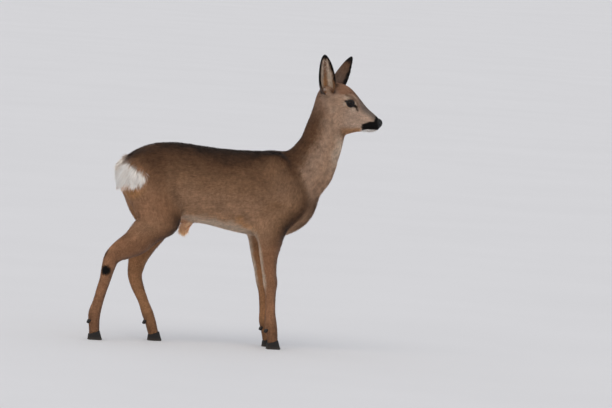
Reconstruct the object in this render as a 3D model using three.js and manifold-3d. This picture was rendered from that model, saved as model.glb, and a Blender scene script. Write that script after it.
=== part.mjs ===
// Roe deer: a young buck in its winter coat, life size, standing in mid-step
// with the head turned a little to its right. Millimetres, +Z up, +X towards
// the head, +Y the animal's left. The origin is on the floor, in the middle.
//
// The flesh is one smooth field: chains of oval stations that melt into each
// other. Each node is the part of that field between thin plane cuts.
import * as THREE from 'three';
import { mergeVertices } from 'three/addons/utils/BufferGeometryUtils.js';
import Module from 'manifold-3d';

const wasm = await Module();
wasm.setup();

// ---------------------------------------------------------------- dimensions
const GAP = 0.3; // between nodes that touch
const CLEARANCE = 1; // between faceted flesh and what stands on it
const CURVE_STEPS = 4; // short lengths between two stations of a chain
const NEAR = 70; // beyond this, a chain's distance is only that to its bounds

const HEAD_YAW = THREE.MathUtils.degToRad(-12); // turned towards its right
const HEAD_PIVOT = new THREE.Vector3(293, -9, 800); // where skull and neck meet
const EYE_RADIUS = 14;
const EYE_PLACE = { ahead: 59, side: 34, up: -1 }; // from the head's pivot
const EAR = { thickness: 3.5, halfWidth: 26, rim: 1.5, roundness: 0.52 }; // a low roundness rounds the tip
const HOOF = { // one claw's sole, its reach up under the hair, and its share of length and width there
  length: 46, width: 16, reach: 37, topLength: 0.62, topWidth: 0.94, heelSlope: 3, spread: 9.5, toeIn: 2.5,
};
const FEET = { // the middle of each sole, and of the fetlock above it
  fore_left: { x: 158, fetlock: 145 },
  fore_right: { x: 152, fetlock: 141 },
  hind_left: { x: -216, fetlock: -236 },
  hind_right: { x: -428, fetlock: -435 },
};
const FOOT_OUT = 51; // from the middle plane to a foot's middle
const FOOT_BLOCK = { behind: 60, before: 50, half: 23, low: 8, cell: [11.3, 11.5, 13] }; // round one pastern
const HOOF_ROUND = { draw: 0.75, least: 0.05, power: 0.6, flat: 0.55 }; // how a claw narrows to its toe
const DEWCLAW = { radius: 5.5, tip: 0.45, length: 16, spread: 8.5, lean: 0.5, behind: 19, height: 58 };

// How softly two masses run into each other, in millimetres.
const BLEND = { neck: 30, head: 22, jaw: 22, brow: 12, shoulder: 34, foreleg: 20, thigh: 40, shank: 14 };

// Stations are [x, y, z, half depth, half width]: the depth lies across the
// chain in its own plane, the width lies sideways.
const TRUNK = [
  [-318, 0, 532, 62, 78],
  [-263, 0, 540, 92, 90],
  [-203, 0, 530, 112, 91],
  [-133, 0, 514, 123, 94],
  [-63, 0, 506, 125, 99],
  [7, 0, 498, 131, 101],
  [77, 0, 493, 137, 95],
  [137, 0, 491, 135, 82],
  [188, 0, 473, 80, 60],
];
const NECK = [
  [162, 0, 536, 72, 68],
  [223, 0, 569, 86, 64],
  [243, 0, 595, 82, 60],
  [262, -1, 635, 73, 54],
  [272, -3, 663, 69, 51],
  [280, -5, 700, 66, 49],
  [286, -7, 737, 60, 47],
  [293, -9, 775, 56, 46],
];

// The head's own chains: [ahead of the pivot, sideways, above it, depth, width].
const SKULL = [
  [4, 0, 14, 49, 42],
  [24, 0, 10, 51, 44],
  [43, 0, 0, 47, 44],
  [72, 0, -17, 37, 37],
  [98, 0, -36, 31, 28],
  [123, 0, -50, 27, 23],
  [144, 0, -59, 21, 20],
  [153, 0, -58, 17, 18],
];
const JAW = [
  [33, 0, -45, 45, 37],
  [53, 0, -62, 37, 34],
  [78, 0, -67, 26, 28],
  [103, 0, -69, 20, 22],
  [126, 0, -71, 17, 18],
  [134, 0, -72, 13, 14],
];
const BROW = [
  [40, 33, 18, 11, 9],
  [62, 31, 17, 11, 9],
  [76, 27, 6, 9, 8],
];

// Limbs, written for the animal's left side at y > 0.
const SHOULDER = [
  [122, 42, 585, 42, 30],
  [168, 50, 520, 50, 34],
  [186, 52, 470, 40, 33],
  [140, 58, 425, 44, 33],
  [112, 60, 385, 46, 30],
];
const FORELEG = [
  [112, 60, 400, 50, 30],
  [116, 59, 352, 42, 27],
  [115, 57, 309, 33, 24],
  [117, 55, 276, 27.5, 20],
  [122, 53, 238, 24, 18],
  [127, 52, 211, 24, 19],
  [130, 52, 181, 18.5, 15],
  [132, 51, 150, 17, 13.5],
  [134, 51, 116, 17, 13.5],
  [137, 51, 84, 20, 17],
  [142, 51, 62, 19, 17],
  [146, 51, 38, 17.5, 17],
  [148, 51, 22, 17, 16],
];
// The left foreleg leans: its elbow is further back and its foot further ahead.
const FORELEG_LEAN = { top: 400, back: -10, ahead: 5 };

const THIGH = [
  [-290, 38, 520, 78, 53],
  [-262, 45, 450, 77, 51],
  [-240, 52, 402, 62, 44],
];
const HIND_RIGHT = [
  [-232, 55, 382, 45, 36],
  [-280, 56, 360, 52, 36],
  [-314, 56, 322, 46, 31],
  [-350, 55, 298, 38, 25],
  [-374, 54, 283, 31, 22],
  [-393, 53, 262, 26, 20],
  [-402, 52, 228, 22, 18],
  [-408, 51, 195, 19, 15],
  [-417, 50, 160, 18, 14],
  [-426, 50, 122, 17.5, 14],
  [-435, 50, 86, 20, 17],
  [-435, 50, 60, 18.5, 17],
  [-433, 50, 38, 17.5, 17],
  [-432, 50, 22, 17, 16],
];
const HIND_LEFT = [
  [-224, 55, 392, 45, 36],
  [-243, 57, 360, 52, 36],
  [-266, 56, 315, 43, 31],
  [-284, 55, 270, 33, 25],
  [-292, 54, 236, 28, 22],
  [-294, 53, 205, 23.5, 20],
  [-284, 52, 172, 21, 17],
  [-270, 51, 142, 18, 14.5],
  [-259, 50, 118, 17, 14],
  [-246, 50, 88, 19, 17],
  [-235, 50, 62, 18, 17],
  [-227, 50, 38, 17.5, 17],
  [-222, 50, 22, 17, 16],
];

// The short tail lies in the white rump patch; the brush hangs from the belly.
const TAIL = [
  [-348, 0, 586, 8, 12],
  [-370, 0, 566, 10, 13],
  [-381, 0, 544, 9, 11],
  [-385, 0, 524, 6, 8],
];
const BRUSH = [
  [-139, 0, 394, 25, 17],
  [-146, 0, 366, 16, 12],
  [-154, 0, 345, 6, 6],
];

// Ears: [base, tip] from the head's pivot, and where the open side looks.
const EARS = {
  right: { base: [-17, -31, 34], tip: [-31, -74, 149], open: [0.3, -1, 0.1] },
  left: { base: [-5, 31, 34], tip: [56, 72, 145], open: [0.75, 0.65, 0.1] },
};

const COAT = {
  trunk: 0x7a6350, neck: 0x84705e, head: 0x8b6f5a, ear: 0x5b4a3e, rump: 0xe9e2d6,
  leg: 0x8a6647, foot: 0x6f5440, hoof: 0x1d1815, eye: 0x140d09, brush: 0xa0622f,
};

// -------------------------------------------------------------------- field
const HEAD_AHEAD = new THREE.Vector3(Math.cos(HEAD_YAW), Math.sin(HEAD_YAW), 0);
const HEAD_SIDE = new THREE.Vector3(-Math.sin(HEAD_YAW), Math.cos(HEAD_YAW), 0);
const SIDEWAYS = new THREE.Vector3(0, 1, 0);

/** A place given from the head's pivot, in the part's own frame. */
function headPlace([ahead, side, up]) {
  return HEAD_PIVOT.clone()
    .addScaledVector(HEAD_AHEAD, ahead)
    .addScaledVector(HEAD_SIDE, side)
    .add(new THREE.Vector3(0, 0, up));
}

/** One value of the smooth curve through four stations. */
function spline(a, b, c, d, t) {
  const t2 = t * t;
  return 0.5 * (2 * b + (c - a) * t + (2 * a - 5 * b + 4 * c - d) * t2 + (3 * b - a - 3 * c + d) * t2 * t);
}

/** The stations with smooth steps put between them. */
function refine(stations) {
  const last = stations.length - 1;
  const at = (i) => stations[THREE.MathUtils.clamp(i, 0, last)];
  const fine = [];
  for (let i = 0; i < last; i += 1) {
    for (let s = 0; s < CURVE_STEPS; s += 1) {
      const t = s / CURVE_STEPS;
      fine.push(at(i).map((_, k) => spline(at(i - 1)[k], at(i)[k], at(i + 1)[k], at(i + 2)[k], t)));
    }
  }
  fine.push(stations[last]);
  return fine;
}

/** Signed distance, near the surface, to a chain of oval stations. */
function chain(stations, side = SIDEWAYS) {
  const fine = refine(stations);
  const bounds = new THREE.Box3();
  fine.forEach(([x, y, z, depth, width]) => {
    bounds.union(new THREE.Box3().setFromCenterAndSize(
      new THREE.Vector3(x, y, z), new THREE.Vector3().setScalar(2 * Math.max(depth, width))));
  });
  const probe = new THREE.Vector3();
  return (x, y, z) => {
    const far = bounds.distanceToPoint(probe.set(x, y, z));
    if (far > NEAR) return far;
    let nearest = Infinity;
    for (let i = 1; i < fine.length; i += 1) {
      const a = fine[i - 1];
      const b = fine[i];
      const ex = b[0] - a[0], ey = b[1] - a[1], ez = b[2] - a[2];
      const along = (x - a[0]) * ex + (y - a[1]) * ey + (z - a[2]) * ez;
      const t = Math.min(Math.max(along / (ex * ex + ey * ey + ez * ez), 0), 1);
      const qx = x - a[0] - t * ex, qy = y - a[1] - t * ey, qz = z - a[2] - t * ez;
      const depth = a[3] + t * (b[3] - a[3]);
      const width = a[4] + t * (b[4] - a[4]);
      const lateral = qx * side.x + qy * side.y + qz * side.z;
      const across = lateral / width;
      const inPlane = Math.sqrt(Math.max(qx * qx + qy * qy + qz * qz - lateral * lateral, 0)) / depth;
      const reach = Math.sqrt(across * across + inPlane * inPlane);
      const slope = Math.sqrt((across / width) ** 2 + (inPlane / depth) ** 2);
      const distance = slope > 0 ? (reach * (reach - 1)) / slope : -Math.min(width, depth);
      if (distance < nearest) nearest = distance;
    }
    return nearest;
  };
}

/** Two fields joined, with a fillet about as wide as the blend. */
function melt(a, b, blend) {
  const h = Math.max(blend - Math.abs(a - b), 0) / blend;
  return Math.min(a, b) - h * h * blend * 0.25;
}

const mirrored = (stations) => stations.map(([x, y, z, d, w]) => [x, -y, z, d, w]);
const leaning = (stations, { top, back, ahead }) => stations.map(
  ([x, y, z, d, w]) => [x + THREE.MathUtils.lerp(ahead, back, z / top), y, z, d, w]);
const headChain = (stations) => chain(
  stations.map(([a, s, u, d, w]) => [...headPlace([a, s, u]).toArray(), d, w]), HEAD_SIDE);

const trunkField = chain(TRUNK);
const neckField = chain(NECK);
const skullField = headChain(SKULL);
const jawField = headChain(JAW);
const browFields = [headChain(BROW), headChain(mirrored(BROW))];
const shoulderFields = [chain(SHOULDER), chain(mirrored(SHOULDER))];
const forelegFields = [chain(leaning(FORELEG, FORELEG_LEAN)), chain(mirrored(FORELEG))];
const thighFields = [chain(THIGH), chain(mirrored(THIGH))];
const hindFields = [chain(HIND_LEFT), chain(mirrored(HIND_RIGHT))];

/** The whole body's flesh, out to the tips of its coat. */
function flesh(x, y, z) {
  let head = melt(skullField(x, y, z), jawField(x, y, z), BLEND.jaw);
  browFields.forEach((brow) => { head = melt(head, brow(x, y, z), BLEND.brow); });
  let body = melt(trunkField(x, y, z), neckField(x, y, z), BLEND.neck);
  body = melt(body, head, BLEND.head);
  shoulderFields.forEach((shoulder) => { body = melt(body, shoulder(x, y, z), BLEND.shoulder); });
  forelegFields.forEach((leg) => { body = melt(body, leg(x, y, z), BLEND.foreleg); });
  thighFields.forEach((thigh, side) => {
    const hind = melt(thigh(x, y, z), hindFields[side](x, y, z), BLEND.shank);
    body = melt(body, hind, BLEND.thigh);
  });
  return body;
}

// --------------------------------------------------------------- polygoniser
const NEWTON_STEPS = 3;
const CELL_MARGIN = 0.05; // keeps the points of neighbouring cells apart, as a share of a cell
const CORNERS = [0, 1, 2, 3, 4, 5, 6, 7].map((c) => [c & 1, (c >> 1) & 1, (c >> 2) & 1]);
const EDGES = CORNERS.flatMap((_, a) => [1, 2, 4].filter((bit) => !(a & bit)).map((bit) => [a, a | bit]));
const AROUND_EDGE = [[1, 1], [0, 1], [0, 0], [1, 0]]; // the four cells at a grid edge, one way round

/** Moves a point onto the field's zero level. */
function settle(field, point, step) {
  for (let i = 0; i < NEWTON_STEPS; i += 1) {
    const [x, y, z] = point;
    const value = field(x, y, z);
    const gradient = [
      field(x + step, y, z) - field(x - step, y, z),
      field(x, y + step, z) - field(x, y - step, z),
      field(x, y, z + step) - field(x, y, z - step),
    ].map((g) => g / (2 * step));
    const square = gradient.reduce((sum, g) => sum + g * g, 0);
    if (square < 1e-6) return;
    for (let k = 0; k < 3; k += 1) point[k] -= (value * gradient[k]) / square;
  }
}

/** For each corner of a cell, a number that the inside corners joined by edges share. */
function insideGroups(value) {
  const group = value.map((_, corner) => corner);
  for (let pass = 0; pass < 3; pass += 1) {
    EDGES.filter(([a, b]) => value[a] < 0 && value[b] < 0).forEach(([a, b]) => {
      group[a] = Math.min(group[a], group[b]);
      group[b] = group[a];
    });
  }
  return group;
}

/**
 * A closed mesh of the field's inside within a box: a point in each cell for
 * each group of inside corners, and a quad across each grid edge that crosses.
 */
function surfaceNet(field, box, cell) {
  const inBox = (x, y, z) => Math.max(
    field(x, y, z),
    box.min.x - x, x - box.max.x, box.min.y - y, y - box.max.y, box.min.z - z, z - box.max.z);
  const start = box.min.toArray().map((v, k) => v - 1.5 * cell[k]);
  const count = box.max.toArray().map((v, k) => Math.ceil((v + 1.5 * cell[k] - start[k]) / cell[k]) + 1);
  const place = (node) => node.map((n, k) => start[k] + n * cell[k]);
  const index = ([i, j, k]) => i + count[0] * (j + count[1] * k);
  const add = (node, corner) => node.map((n, k) => n + corner[k]);
  const overGrid = (first, last, visit) => {
    for (let k = first; k < count[2] - last; k += 1) {
      for (let j = first; j < count[1] - last; j += 1) {
        for (let i = first; i < count[0] - last; i += 1) visit([i, j, k]);
      }
    }
  };
  const values = new Float64Array(count[0] * count[1] * count[2]);
  overGrid(0, 0, (node) => { values[index(node)] = inBox(...place(node)); });

  const positions = [];
  const pointOf = new Map(); // from a cell's number and an inside corner's to the point
  const step = Math.min(...cell) * 0.1;
  overGrid(0, 1, (node) => {
    const value = CORNERS.map((corner) => values[index(add(node, corner))]);
    const crossed = EDGES.filter(([a, b]) => (value[a] < 0) !== (value[b] < 0));
    if (crossed.length === 0) return;
    const group = insideGroups(value);
    new Set(group.filter((_, corner) => value[corner] < 0)).forEach((one) => {
      const own = crossed.filter(([a, b]) => group[value[a] < 0 ? a : b] === one);
      if (own.length === 0) return;
      const mean = [0, 1, 2].map((n) => own.reduce((sum, [a, b]) => {
        const t = value[a] / (value[a] - value[b]);
        return sum + CORNERS[a][n] + t * (CORNERS[b][n] - CORNERS[a][n]);
      }, 0) / own.length);
      const point = place(add(node, mean));
      settle(inBox, point, step);
      const low = place(node.map((n) => n + CELL_MARGIN));
      const high = place(node.map((n) => n + 1 - CELL_MARGIN));
      const number = positions.length / 3;
      group.forEach((g, corner) => { if (g === one) pointOf.set(index(node) * 8 + corner, number); });
      positions.push(...point.map((v, n) => THREE.MathUtils.clamp(v, low[n], high[n])));
    });
  });

  const triangles = [];
  overGrid(1, 1, (node) => {
    for (let axis = 0; axis < 3; axis += 1) {
      const next = node.map((n, k) => n + (k === axis ? 1 : 0));
      const inside = values[index(node)] < 0;
      if (inside === values[index(next)] < 0) continue;
      const seen = inside ? node : next;
      const quad = AROUND_EDGE.map(([u, v]) => {
        const owner = [...node];
        owner[(axis + 1) % 3] -= u;
        owner[(axis + 2) % 3] -= v;
        const corner = seen.reduce((sum, n, k) => sum + ((n - owner[k]) << k), 0);
        return pointOf.get(index(owner) * 8 + corner);
      });
      const [a, b, c, d] = inside ? quad : quad.reverse();
      triangles.push(a, b, c, a, c, d);
    }
  });
  return new wasm.Manifold(new wasm.Mesh({
    numProp: 3,
    vertProperties: new Float32Array(positions),
    triVerts: new Uint32Array(triangles),
  }));
}

// ------------------------------------------------------------------- solids
const FAR = 2000; // longer than the whole animal

/** A closed three.js geometry as a solid that can be cut. */
function solid(geometry) {
  const bare = geometry.index ? geometry.toNonIndexed() : geometry.clone();
  bare.deleteAttribute('normal');
  bare.deleteAttribute('uv');
  const merged = mergeVertices(bare, 1e-3);
  return new wasm.Manifold(new wasm.Mesh({
    numProp: 3,
    vertProperties: new Float32Array(merged.attributes.position.array),
    triVerts: new Uint32Array(merged.index.array),
  }));
}

/** All that lies in front of a plane, where its normal points. */
function halfSpace(point, normal, offset = 0) {
  const geometry = new THREE.BoxGeometry(FAR, FAR, FAR);
  geometry.translate(0, 0, FAR / 2 + offset);
  const up = new THREE.Vector3(...normal).normalize();
  geometry.applyQuaternion(new THREE.Quaternion().setFromUnitVectors(new THREE.Vector3(0, 0, 1), up));
  geometry.translate(...point);
  return solid(geometry);
}

/** A plane cut: the two sides keep half of the gap each. */
function cut(from, to) {
  const normal = [-(to[1] - from[1]), 0, to[0] - from[0]];
  return {
    above: halfSpace([from[0], 0, from[1]], normal, GAP / 2),
    below: halfSpace([from[0], 0, from[1]], normal.map((n) => -n), GAP / 2),
  };
}

const region = (x0, x1, y0, y1, z0, z1) => new THREE.Box3(
  new THREE.Vector3(x0, y0, z0), new THREE.Vector3(x1, y1, z1));

/** A block that is taken away or kept, from its two corners. */
function block(box) {
  const size = box.getSize(new THREE.Vector3());
  const middle = box.getCenter(new THREE.Vector3());
  return solid(new THREE.BoxGeometry(size.x, size.y, size.z).translate(middle.x, middle.y, middle.z));
}

/** Cuts in the side view, each from one [x, z] to another; "above" is to the left of that way. */
const CUTS = {
  neckBase: cut([158, 655], [262, 452]),
  poll: cut([236, 842], [352, 668]),
  thigh: cut([-430, 476], [-150, 388]),
  knee: cut([0, 200], [200, 200]),
};
const HIND_CUTS = {
  left: { stifle: cut([-326, 355], [-190, 295]), hock: cut([-330, 165], [-240, 201]) },
  right: { stifle: cut([-367, 377], [-265, 267]), hock: cut([-450, 240], [-360, 224]) },
};
const FETLOCK = 100; // where cannon and pastern part
const CORONET = { front: 30, back: 19, run: 40 };

/** The half space above a fetlock or below it. */
const level = (z) => cut([-FAR / 4, z], [FAR / 4, z]);

/** The sloping plane where hair ends and horn begins, for a foot at x. */
const coronetCut = (x) => cut([x - CORONET.run / 2, CORONET.back], [x + CORONET.run / 2, CORONET.front]);

// ------------------------------------------------------------- small pieces
/** A closed loft through rings that all have the same even number of points. */
function loft(rings) {
  const around = rings[0].length;
  const top = (rings.length - 1) * around;
  const positions = rings.flat().flatMap((p) => [p.x, p.y, p.z]);
  const triangles = [];
  for (let r = 0; r + 1 < rings.length; r += 1) {
    for (let i = 0; i < around; i += 1) {
      const a = r * around + i;
      const b = r * around + ((i + 1) % around);
      triangles.push(a, b, b + around, a, b + around, a + around);
    }
  }
  for (let i = 0; i + 1 < around / 2; i += 1) {
    const [a, b, c, d] = [i, i + 1, around - 2 - i, around - 1 - i];
    triangles.push(a, c, b, a, d, c, top + a, top + b, top + c, top + a, top + c, top + d);
  }
  const geometry = new THREE.BufferGeometry();
  geometry.setAttribute('position', new THREE.Float32BufferAttribute(positions, 3));
  geometry.setIndex(triangles);
  return geometry;
}

const EAR_RINGS = 8;
const EAR_ARC = 5; // steps across the shell

const EAR_BASE = 0.16; // where along the full leaf shape the ear's base cuts it
const EAR_WIDEST = 0.85; // below one, the widest place moves towards the tip
const EAR_CURL = { base: 145, tip: 62, ease: 0.6 }; // degrees to each side of the middle
const EAR_END = 0.985; // the last ring, just short of the point

/** Half width of the ear at a share of its length. */
function earHalfWidth(t) {
  const leaf = Math.pow(EAR_BASE + (1 - EAR_BASE) * t, EAR_WIDEST);
  return EAR.halfWidth * Math.pow(Math.sin(Math.PI * leaf), EAR.roundness) + EAR.rim;
}

/** A cupped ear: a curled shell, nearly a tube at its base and open above. */
function earShell({ base, tip, open }) {
  const foot = headPlace(base);
  const axis = headPlace(tip).sub(foot);
  const length = axis.length();
  axis.normalize();
  const looks = new THREE.Vector3()
    .addScaledVector(HEAD_AHEAD, open[0])
    .addScaledVector(HEAD_SIDE, open[1])
    .add(new THREE.Vector3(0, 0, open[2]));
  looks.addScaledVector(axis, -looks.dot(axis)).normalize();
  const across = new THREE.Vector3().crossVectors(looks, axis);
  const rings = [];
  for (let r = 0; r <= EAR_RINGS; r += 1) {
    const t = (r / EAR_RINGS) * EAR_END;
    const half = earHalfWidth(t);
    const curl = THREE.MathUtils.degToRad(
      THREE.MathUtils.lerp(EAR_CURL.base, EAR_CURL.tip, Math.pow(t, EAR_CURL.ease)));
    const radius = half / Math.sin(Math.min(curl, Math.PI / 2));
    const thickness = THREE.MathUtils.lerp(EAR.thickness * 1.5, EAR.thickness * 0.7, t);
    const spine = foot.clone().addScaledVector(axis, length * t);
    const at = (angle, reach) => spine.clone()
      .addScaledVector(across, Math.sin(angle) * reach)
      .addScaledVector(looks, radius * 0.5 - Math.cos(angle) * reach);
    const outer = [];
    const inner = [];
    for (let s = 0; s <= EAR_ARC; s += 1) {
      const angle = THREE.MathUtils.lerp(-curl, curl, s / EAR_ARC);
      outer.push(at(angle, radius));
      inner.unshift(at(angle * 0.97, radius - thickness));
    }
    rings.push([...outer, ...inner]);
  }
  return solid(loft(rings));
}

const HOOF_POINTS = 8;

/** One claw of a cloven hoof, its flat sole on the floor. */
function hoofClaw(x, y, side, trim) {
  const outline = (t, z) => {
    const long = HOOF.length * THREE.MathUtils.lerp(1, HOOF.topLength, t);
    const wide = HOOF.width * THREE.MathUtils.lerp(1, HOOF.topWidth, t);
    const back = x - HOOF.length * 0.5 + t * HOOF.heelSlope;
    const ring = [];
    for (let i = 0; i < HOOF_POINTS; i += 1) {
      const angle = (2 * Math.PI * i) / HOOF_POINTS;
      const forward = 0.5 - 0.5 * Math.cos(angle);
      const narrowed = Math.max(1 - forward * forward * HOOF_ROUND.draw, HOOF_ROUND.least);
      const taper = HOOF_ROUND.flat + (1 - HOOF_ROUND.flat) * Math.pow(narrowed, HOOF_ROUND.power);
      const lean = side * HOOF.toeIn * forward * (1 - t);
      ring.push(new THREE.Vector3(
        back + long * forward, y - lean - Math.sin(angle) * 0.5 * wide * taper, z));
    }
    return ring;
  };
  const rings = [0, 0.5, 1].map((t) => outline(t, t * HOOF.reach));
  return solid(loft(rings)).intersect(trim);
}

/** A small horn cone behind the fetlock, cut clear of the foot. */
function dewclaw(place, lean) {
  const cone = new THREE.CylinderGeometry(DEWCLAW.radius * DEWCLAW.tip, DEWCLAW.radius, DEWCLAW.length, 6);
  cone.rotateX(-Math.PI / 2);
  cone.rotateY(lean);
  cone.translate(...place);
  return solid(cone);
}

/** A ball for an eye. */
const eyeball = (side, radius) => {
  const { ahead, side: out, up } = EYE_PLACE;
  const place = headPlace([ahead, side * out, up]);
  return solid(new THREE.SphereGeometry(radius, 12, 7).translate(...place.toArray()));
};

// -------------------------------------------------------------------- model
const group = new THREE.Group();
group.name = 'roe_deer';

const WELD = 0.01; // points that a cut leaves closer than this become one

/** Welds a cut mesh and drops the slivers that this folds up. */
function welded(geometry) {
  const merged = mergeVertices(geometry, WELD);
  const kept = new Map();
  for (let t = 0; t < merged.index.count; t += 3) {
    const corners = [0, 1, 2].map((k) => merged.index.getX(t + k));
    if (new Set(corners).size < 3) continue;
    const key = [...corners].sort((a, b) => a - b).join();
    if (!kept.delete(key)) kept.set(key, corners);
  }
  merged.setIndex([...kept.values()].flat());
  return merged;
}

/** Adds a cut solid to the model as a named mesh. */
function addNode(name, body, colour, roughness = 0.9) {
  const { vertProperties, triVerts } = body.getMesh();
  const geometry = new THREE.BufferGeometry();
  geometry.setAttribute('position', new THREE.BufferAttribute(new Float32Array(vertProperties), 3));
  geometry.setIndex(new THREE.BufferAttribute(new Uint32Array(triVerts), 1));
  const closed = welded(geometry);
  closed.computeVertexNormals();
  const material = new THREE.MeshStandardMaterial({ color: colour, roughness, metalness: 0 });
  const mesh = new THREE.Mesh(closed, material);
  mesh.name = name;
  group.add(mesh);
}

const swollen = (field, by) => (x, y, z) => field(x, y, z) - by;

/** The flesh within a region, and the same a little larger, for cutting what stands on it. */
const fleshIn = (box, cell) => surfaceNet(flesh, box, cell);
const clearanceIn = (box, cell) => surfaceNet(swollen(flesh, CLEARANCE), box, cell);

// Head, with its sockets, eyes and ears.
const HEAD_REGION = region(210, 480, -110, 70, 640, 900);
const HEAD_CELL = [13.5, 13.5, 13.5];
const SIDES = [['left', 1], ['right', -1]];
let head = fleshIn(HEAD_REGION, HEAD_CELL).intersect(CUTS.poll.above);
const headClearance = clearanceIn(HEAD_REGION, HEAD_CELL);
SIDES.forEach(([name, side]) => {
  head = head.subtract(eyeball(side, EYE_RADIUS + GAP));
  addNode(`eye_${name}`, eyeball(side, EYE_RADIUS), COAT.eye, 0.1);
  addNode(`ear_${name}`, earShell(EARS[name]).subtract(headClearance), COAT.ear);
});
addNode('head', head, COAT.head);

// Neck.
const neck = fleshIn(region(130, 360, -100, 100, 420, 860), [23, 23, 24]);
addNode('neck', neck.intersect(CUTS.neckBase.above).intersect(CUTS.poll.below), COAT.neck);

// Trunk: what is left between the neck and the four legs.
const TRUNK_REGION = region(-480, 300, -125, 125, 330, 700);
const TRUNK_CELL = [35, 25, 27];
const BRISKET_HALF = 30; // half width of the breast that stays between the forelegs
const ELBOW = { back: 56, front: 174, top: 366 }; // where a foreleg leaves the chest
const foreTop = (side, gap) => block(region(
  ELBOW.back - gap, ELBOW.front + gap, side > 0 ? BRISKET_HALF - gap : -FAR / 2,
  side > 0 ? FAR / 2 : gap - BRISKET_HALF, 0, ELBOW.top + gap));
const HIND_REGION = { x: [-520, -150], y: [-130, 130] };
let trunk = fleshIn(TRUNK_REGION, TRUNK_CELL).intersect(CUTS.neckBase.below);
const hindQuarters = block(region(...HIND_REGION.x, ...HIND_REGION.y, 0, 500)).subtract(CUTS.thigh.above);
trunk = trunk.subtract(hindQuarters);
SIDES.forEach(([, side]) => { trunk = trunk.subtract(foreTop(side, GAP / 2)); });
addNode('trunk', trunk, COAT.trunk);
const trunkClearance = clearanceIn(TRUNK_REGION, TRUNK_CELL);
const TAIL_REGION = region(-430, -350, -30, 30, 500, 610);
const BRUSH_REGION = region(-180, -115, -30, 30, 330, 420);
addNode('tail', surfaceNet(chain(TAIL), TAIL_REGION, [9, 9, 10]).subtract(trunkClearance), COAT.rump);
addNode('brush', surfaceNet(chain(BRUSH), BRUSH_REGION, [9, 9, 10]).subtract(trunkClearance), COAT.brush);

/** A leg's lowest joint, its two claws and its two dewclaws. */
function addFoot(name, side) {
  const { x, fetlock } = FEET[name];
  const y = side * FOOT_OUT;
  const { behind, before, half, low, cell } = FOOT_BLOCK;
  const box = region(x - behind, x + before, y - half, y + half, low, FETLOCK + 20);
  const coronet = coronetCut(x);
  const pastern = fleshIn(box, cell).intersect(coronet.above).intersect(level(FETLOCK).below);
  addNode(`pastern_${name}`, pastern, COAT.foot);
  const clearance = clearanceIn(box, cell);
  [['inner', -1], ['outer', 1]].forEach(([which, out]) => {
    const claw = hoofClaw(x, y + side * out * HOOF.spread, side * out, coronet.below);
    addNode(`hoof_${name}_${which}`, claw, COAT.hoof, 0.45);
    const place = [fetlock - DEWCLAW.behind, y + side * out * DEWCLAW.spread, DEWCLAW.height];
    addNode(`dewclaw_${name}_${which}`, dewclaw(place, DEWCLAW.lean).subtract(clearance), COAT.hoof, 0.5);
  });
}

// Forelegs.
SIDES.forEach(([name, side]) => {
  const yRange = side > 0 ? [0, 125] : [-125, 0];
  const upper = fleshIn(region(40, 200, ...yRange, 180, 400), [16, 16, 22]);
  addNode(`forearm_${name}`, upper.intersect(foreTop(side, -GAP / 2)).intersect(CUTS.knee.above), COAT.leg);
  const cannon = fleshIn(region(60, 200, ...yRange, FETLOCK - 25, 225), [9, 9, 20]);
  addNode(`cannon_fore_${name}`, cannon.intersect(CUTS.knee.below).intersect(level(FETLOCK).above), COAT.leg);
  addFoot(`fore_${name}`, side);
});

// Hind legs.
const MIDDLE = {
  1: halfSpace([0, 0, 0], [0, 1, 0], GAP / 2),
  '-1': halfSpace([0, 0, 0], [0, -1, 0], GAP / 2),
};
SIDES.forEach(([name, side]) => {
  const cuts = HIND_CUTS[name];
  const yRange = side > 0 ? [-20, 125] : [-125, 20];
  const thigh = fleshIn(region(-460, -120, ...yRange, 230, 520), [21, 19, 20])
    .intersect(CUTS.thigh.below).intersect(cuts.stifle.above).intersect(MIDDLE[side])
    .intersect(block(region(-600, -151, -200, 200, 0, 600)));
  addNode(`thigh_${name}`, thigh, COAT.leg);
  const shank = fleshIn(region(-460, -160, ...yRange, 150, 400), [17, 15, 17])
    .intersect(cuts.stifle.below).intersect(cuts.hock.above).intersect(MIDDLE[side]);
  addNode(`shank_${name}`, shank, COAT.leg);
  const cannon = fleshIn(region(-470, -180, ...yRange, FETLOCK - 25, 270), [10.5, 10, 18])
    .intersect(cuts.hock.below).intersect(level(FETLOCK).above);
  addNode(`cannon_hind_${name}`, cannon, COAT.leg);
  addFoot(`hind_${name}`, side);
});

export default group;
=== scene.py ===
"""Roe deer: a young buck in its winter coat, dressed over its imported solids.

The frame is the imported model's: +X towards the head, +Y the animal's left, +Z
up, the floor at z = 0. The body is worked out as a smooth field in
millimetres, and every mesh is written in metres.
"""
from __future__ import annotations

import logging
import math
from dataclasses import dataclass, field
from enum import Enum
from typing import Callable, Iterable, NamedTuple

import bmesh
import bpy
import numpy as np
from bpy.types import ID, Material, Mesh, Node, NodeSocket, NodeTree, Object
from mathutils import Matrix, Vector

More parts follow.
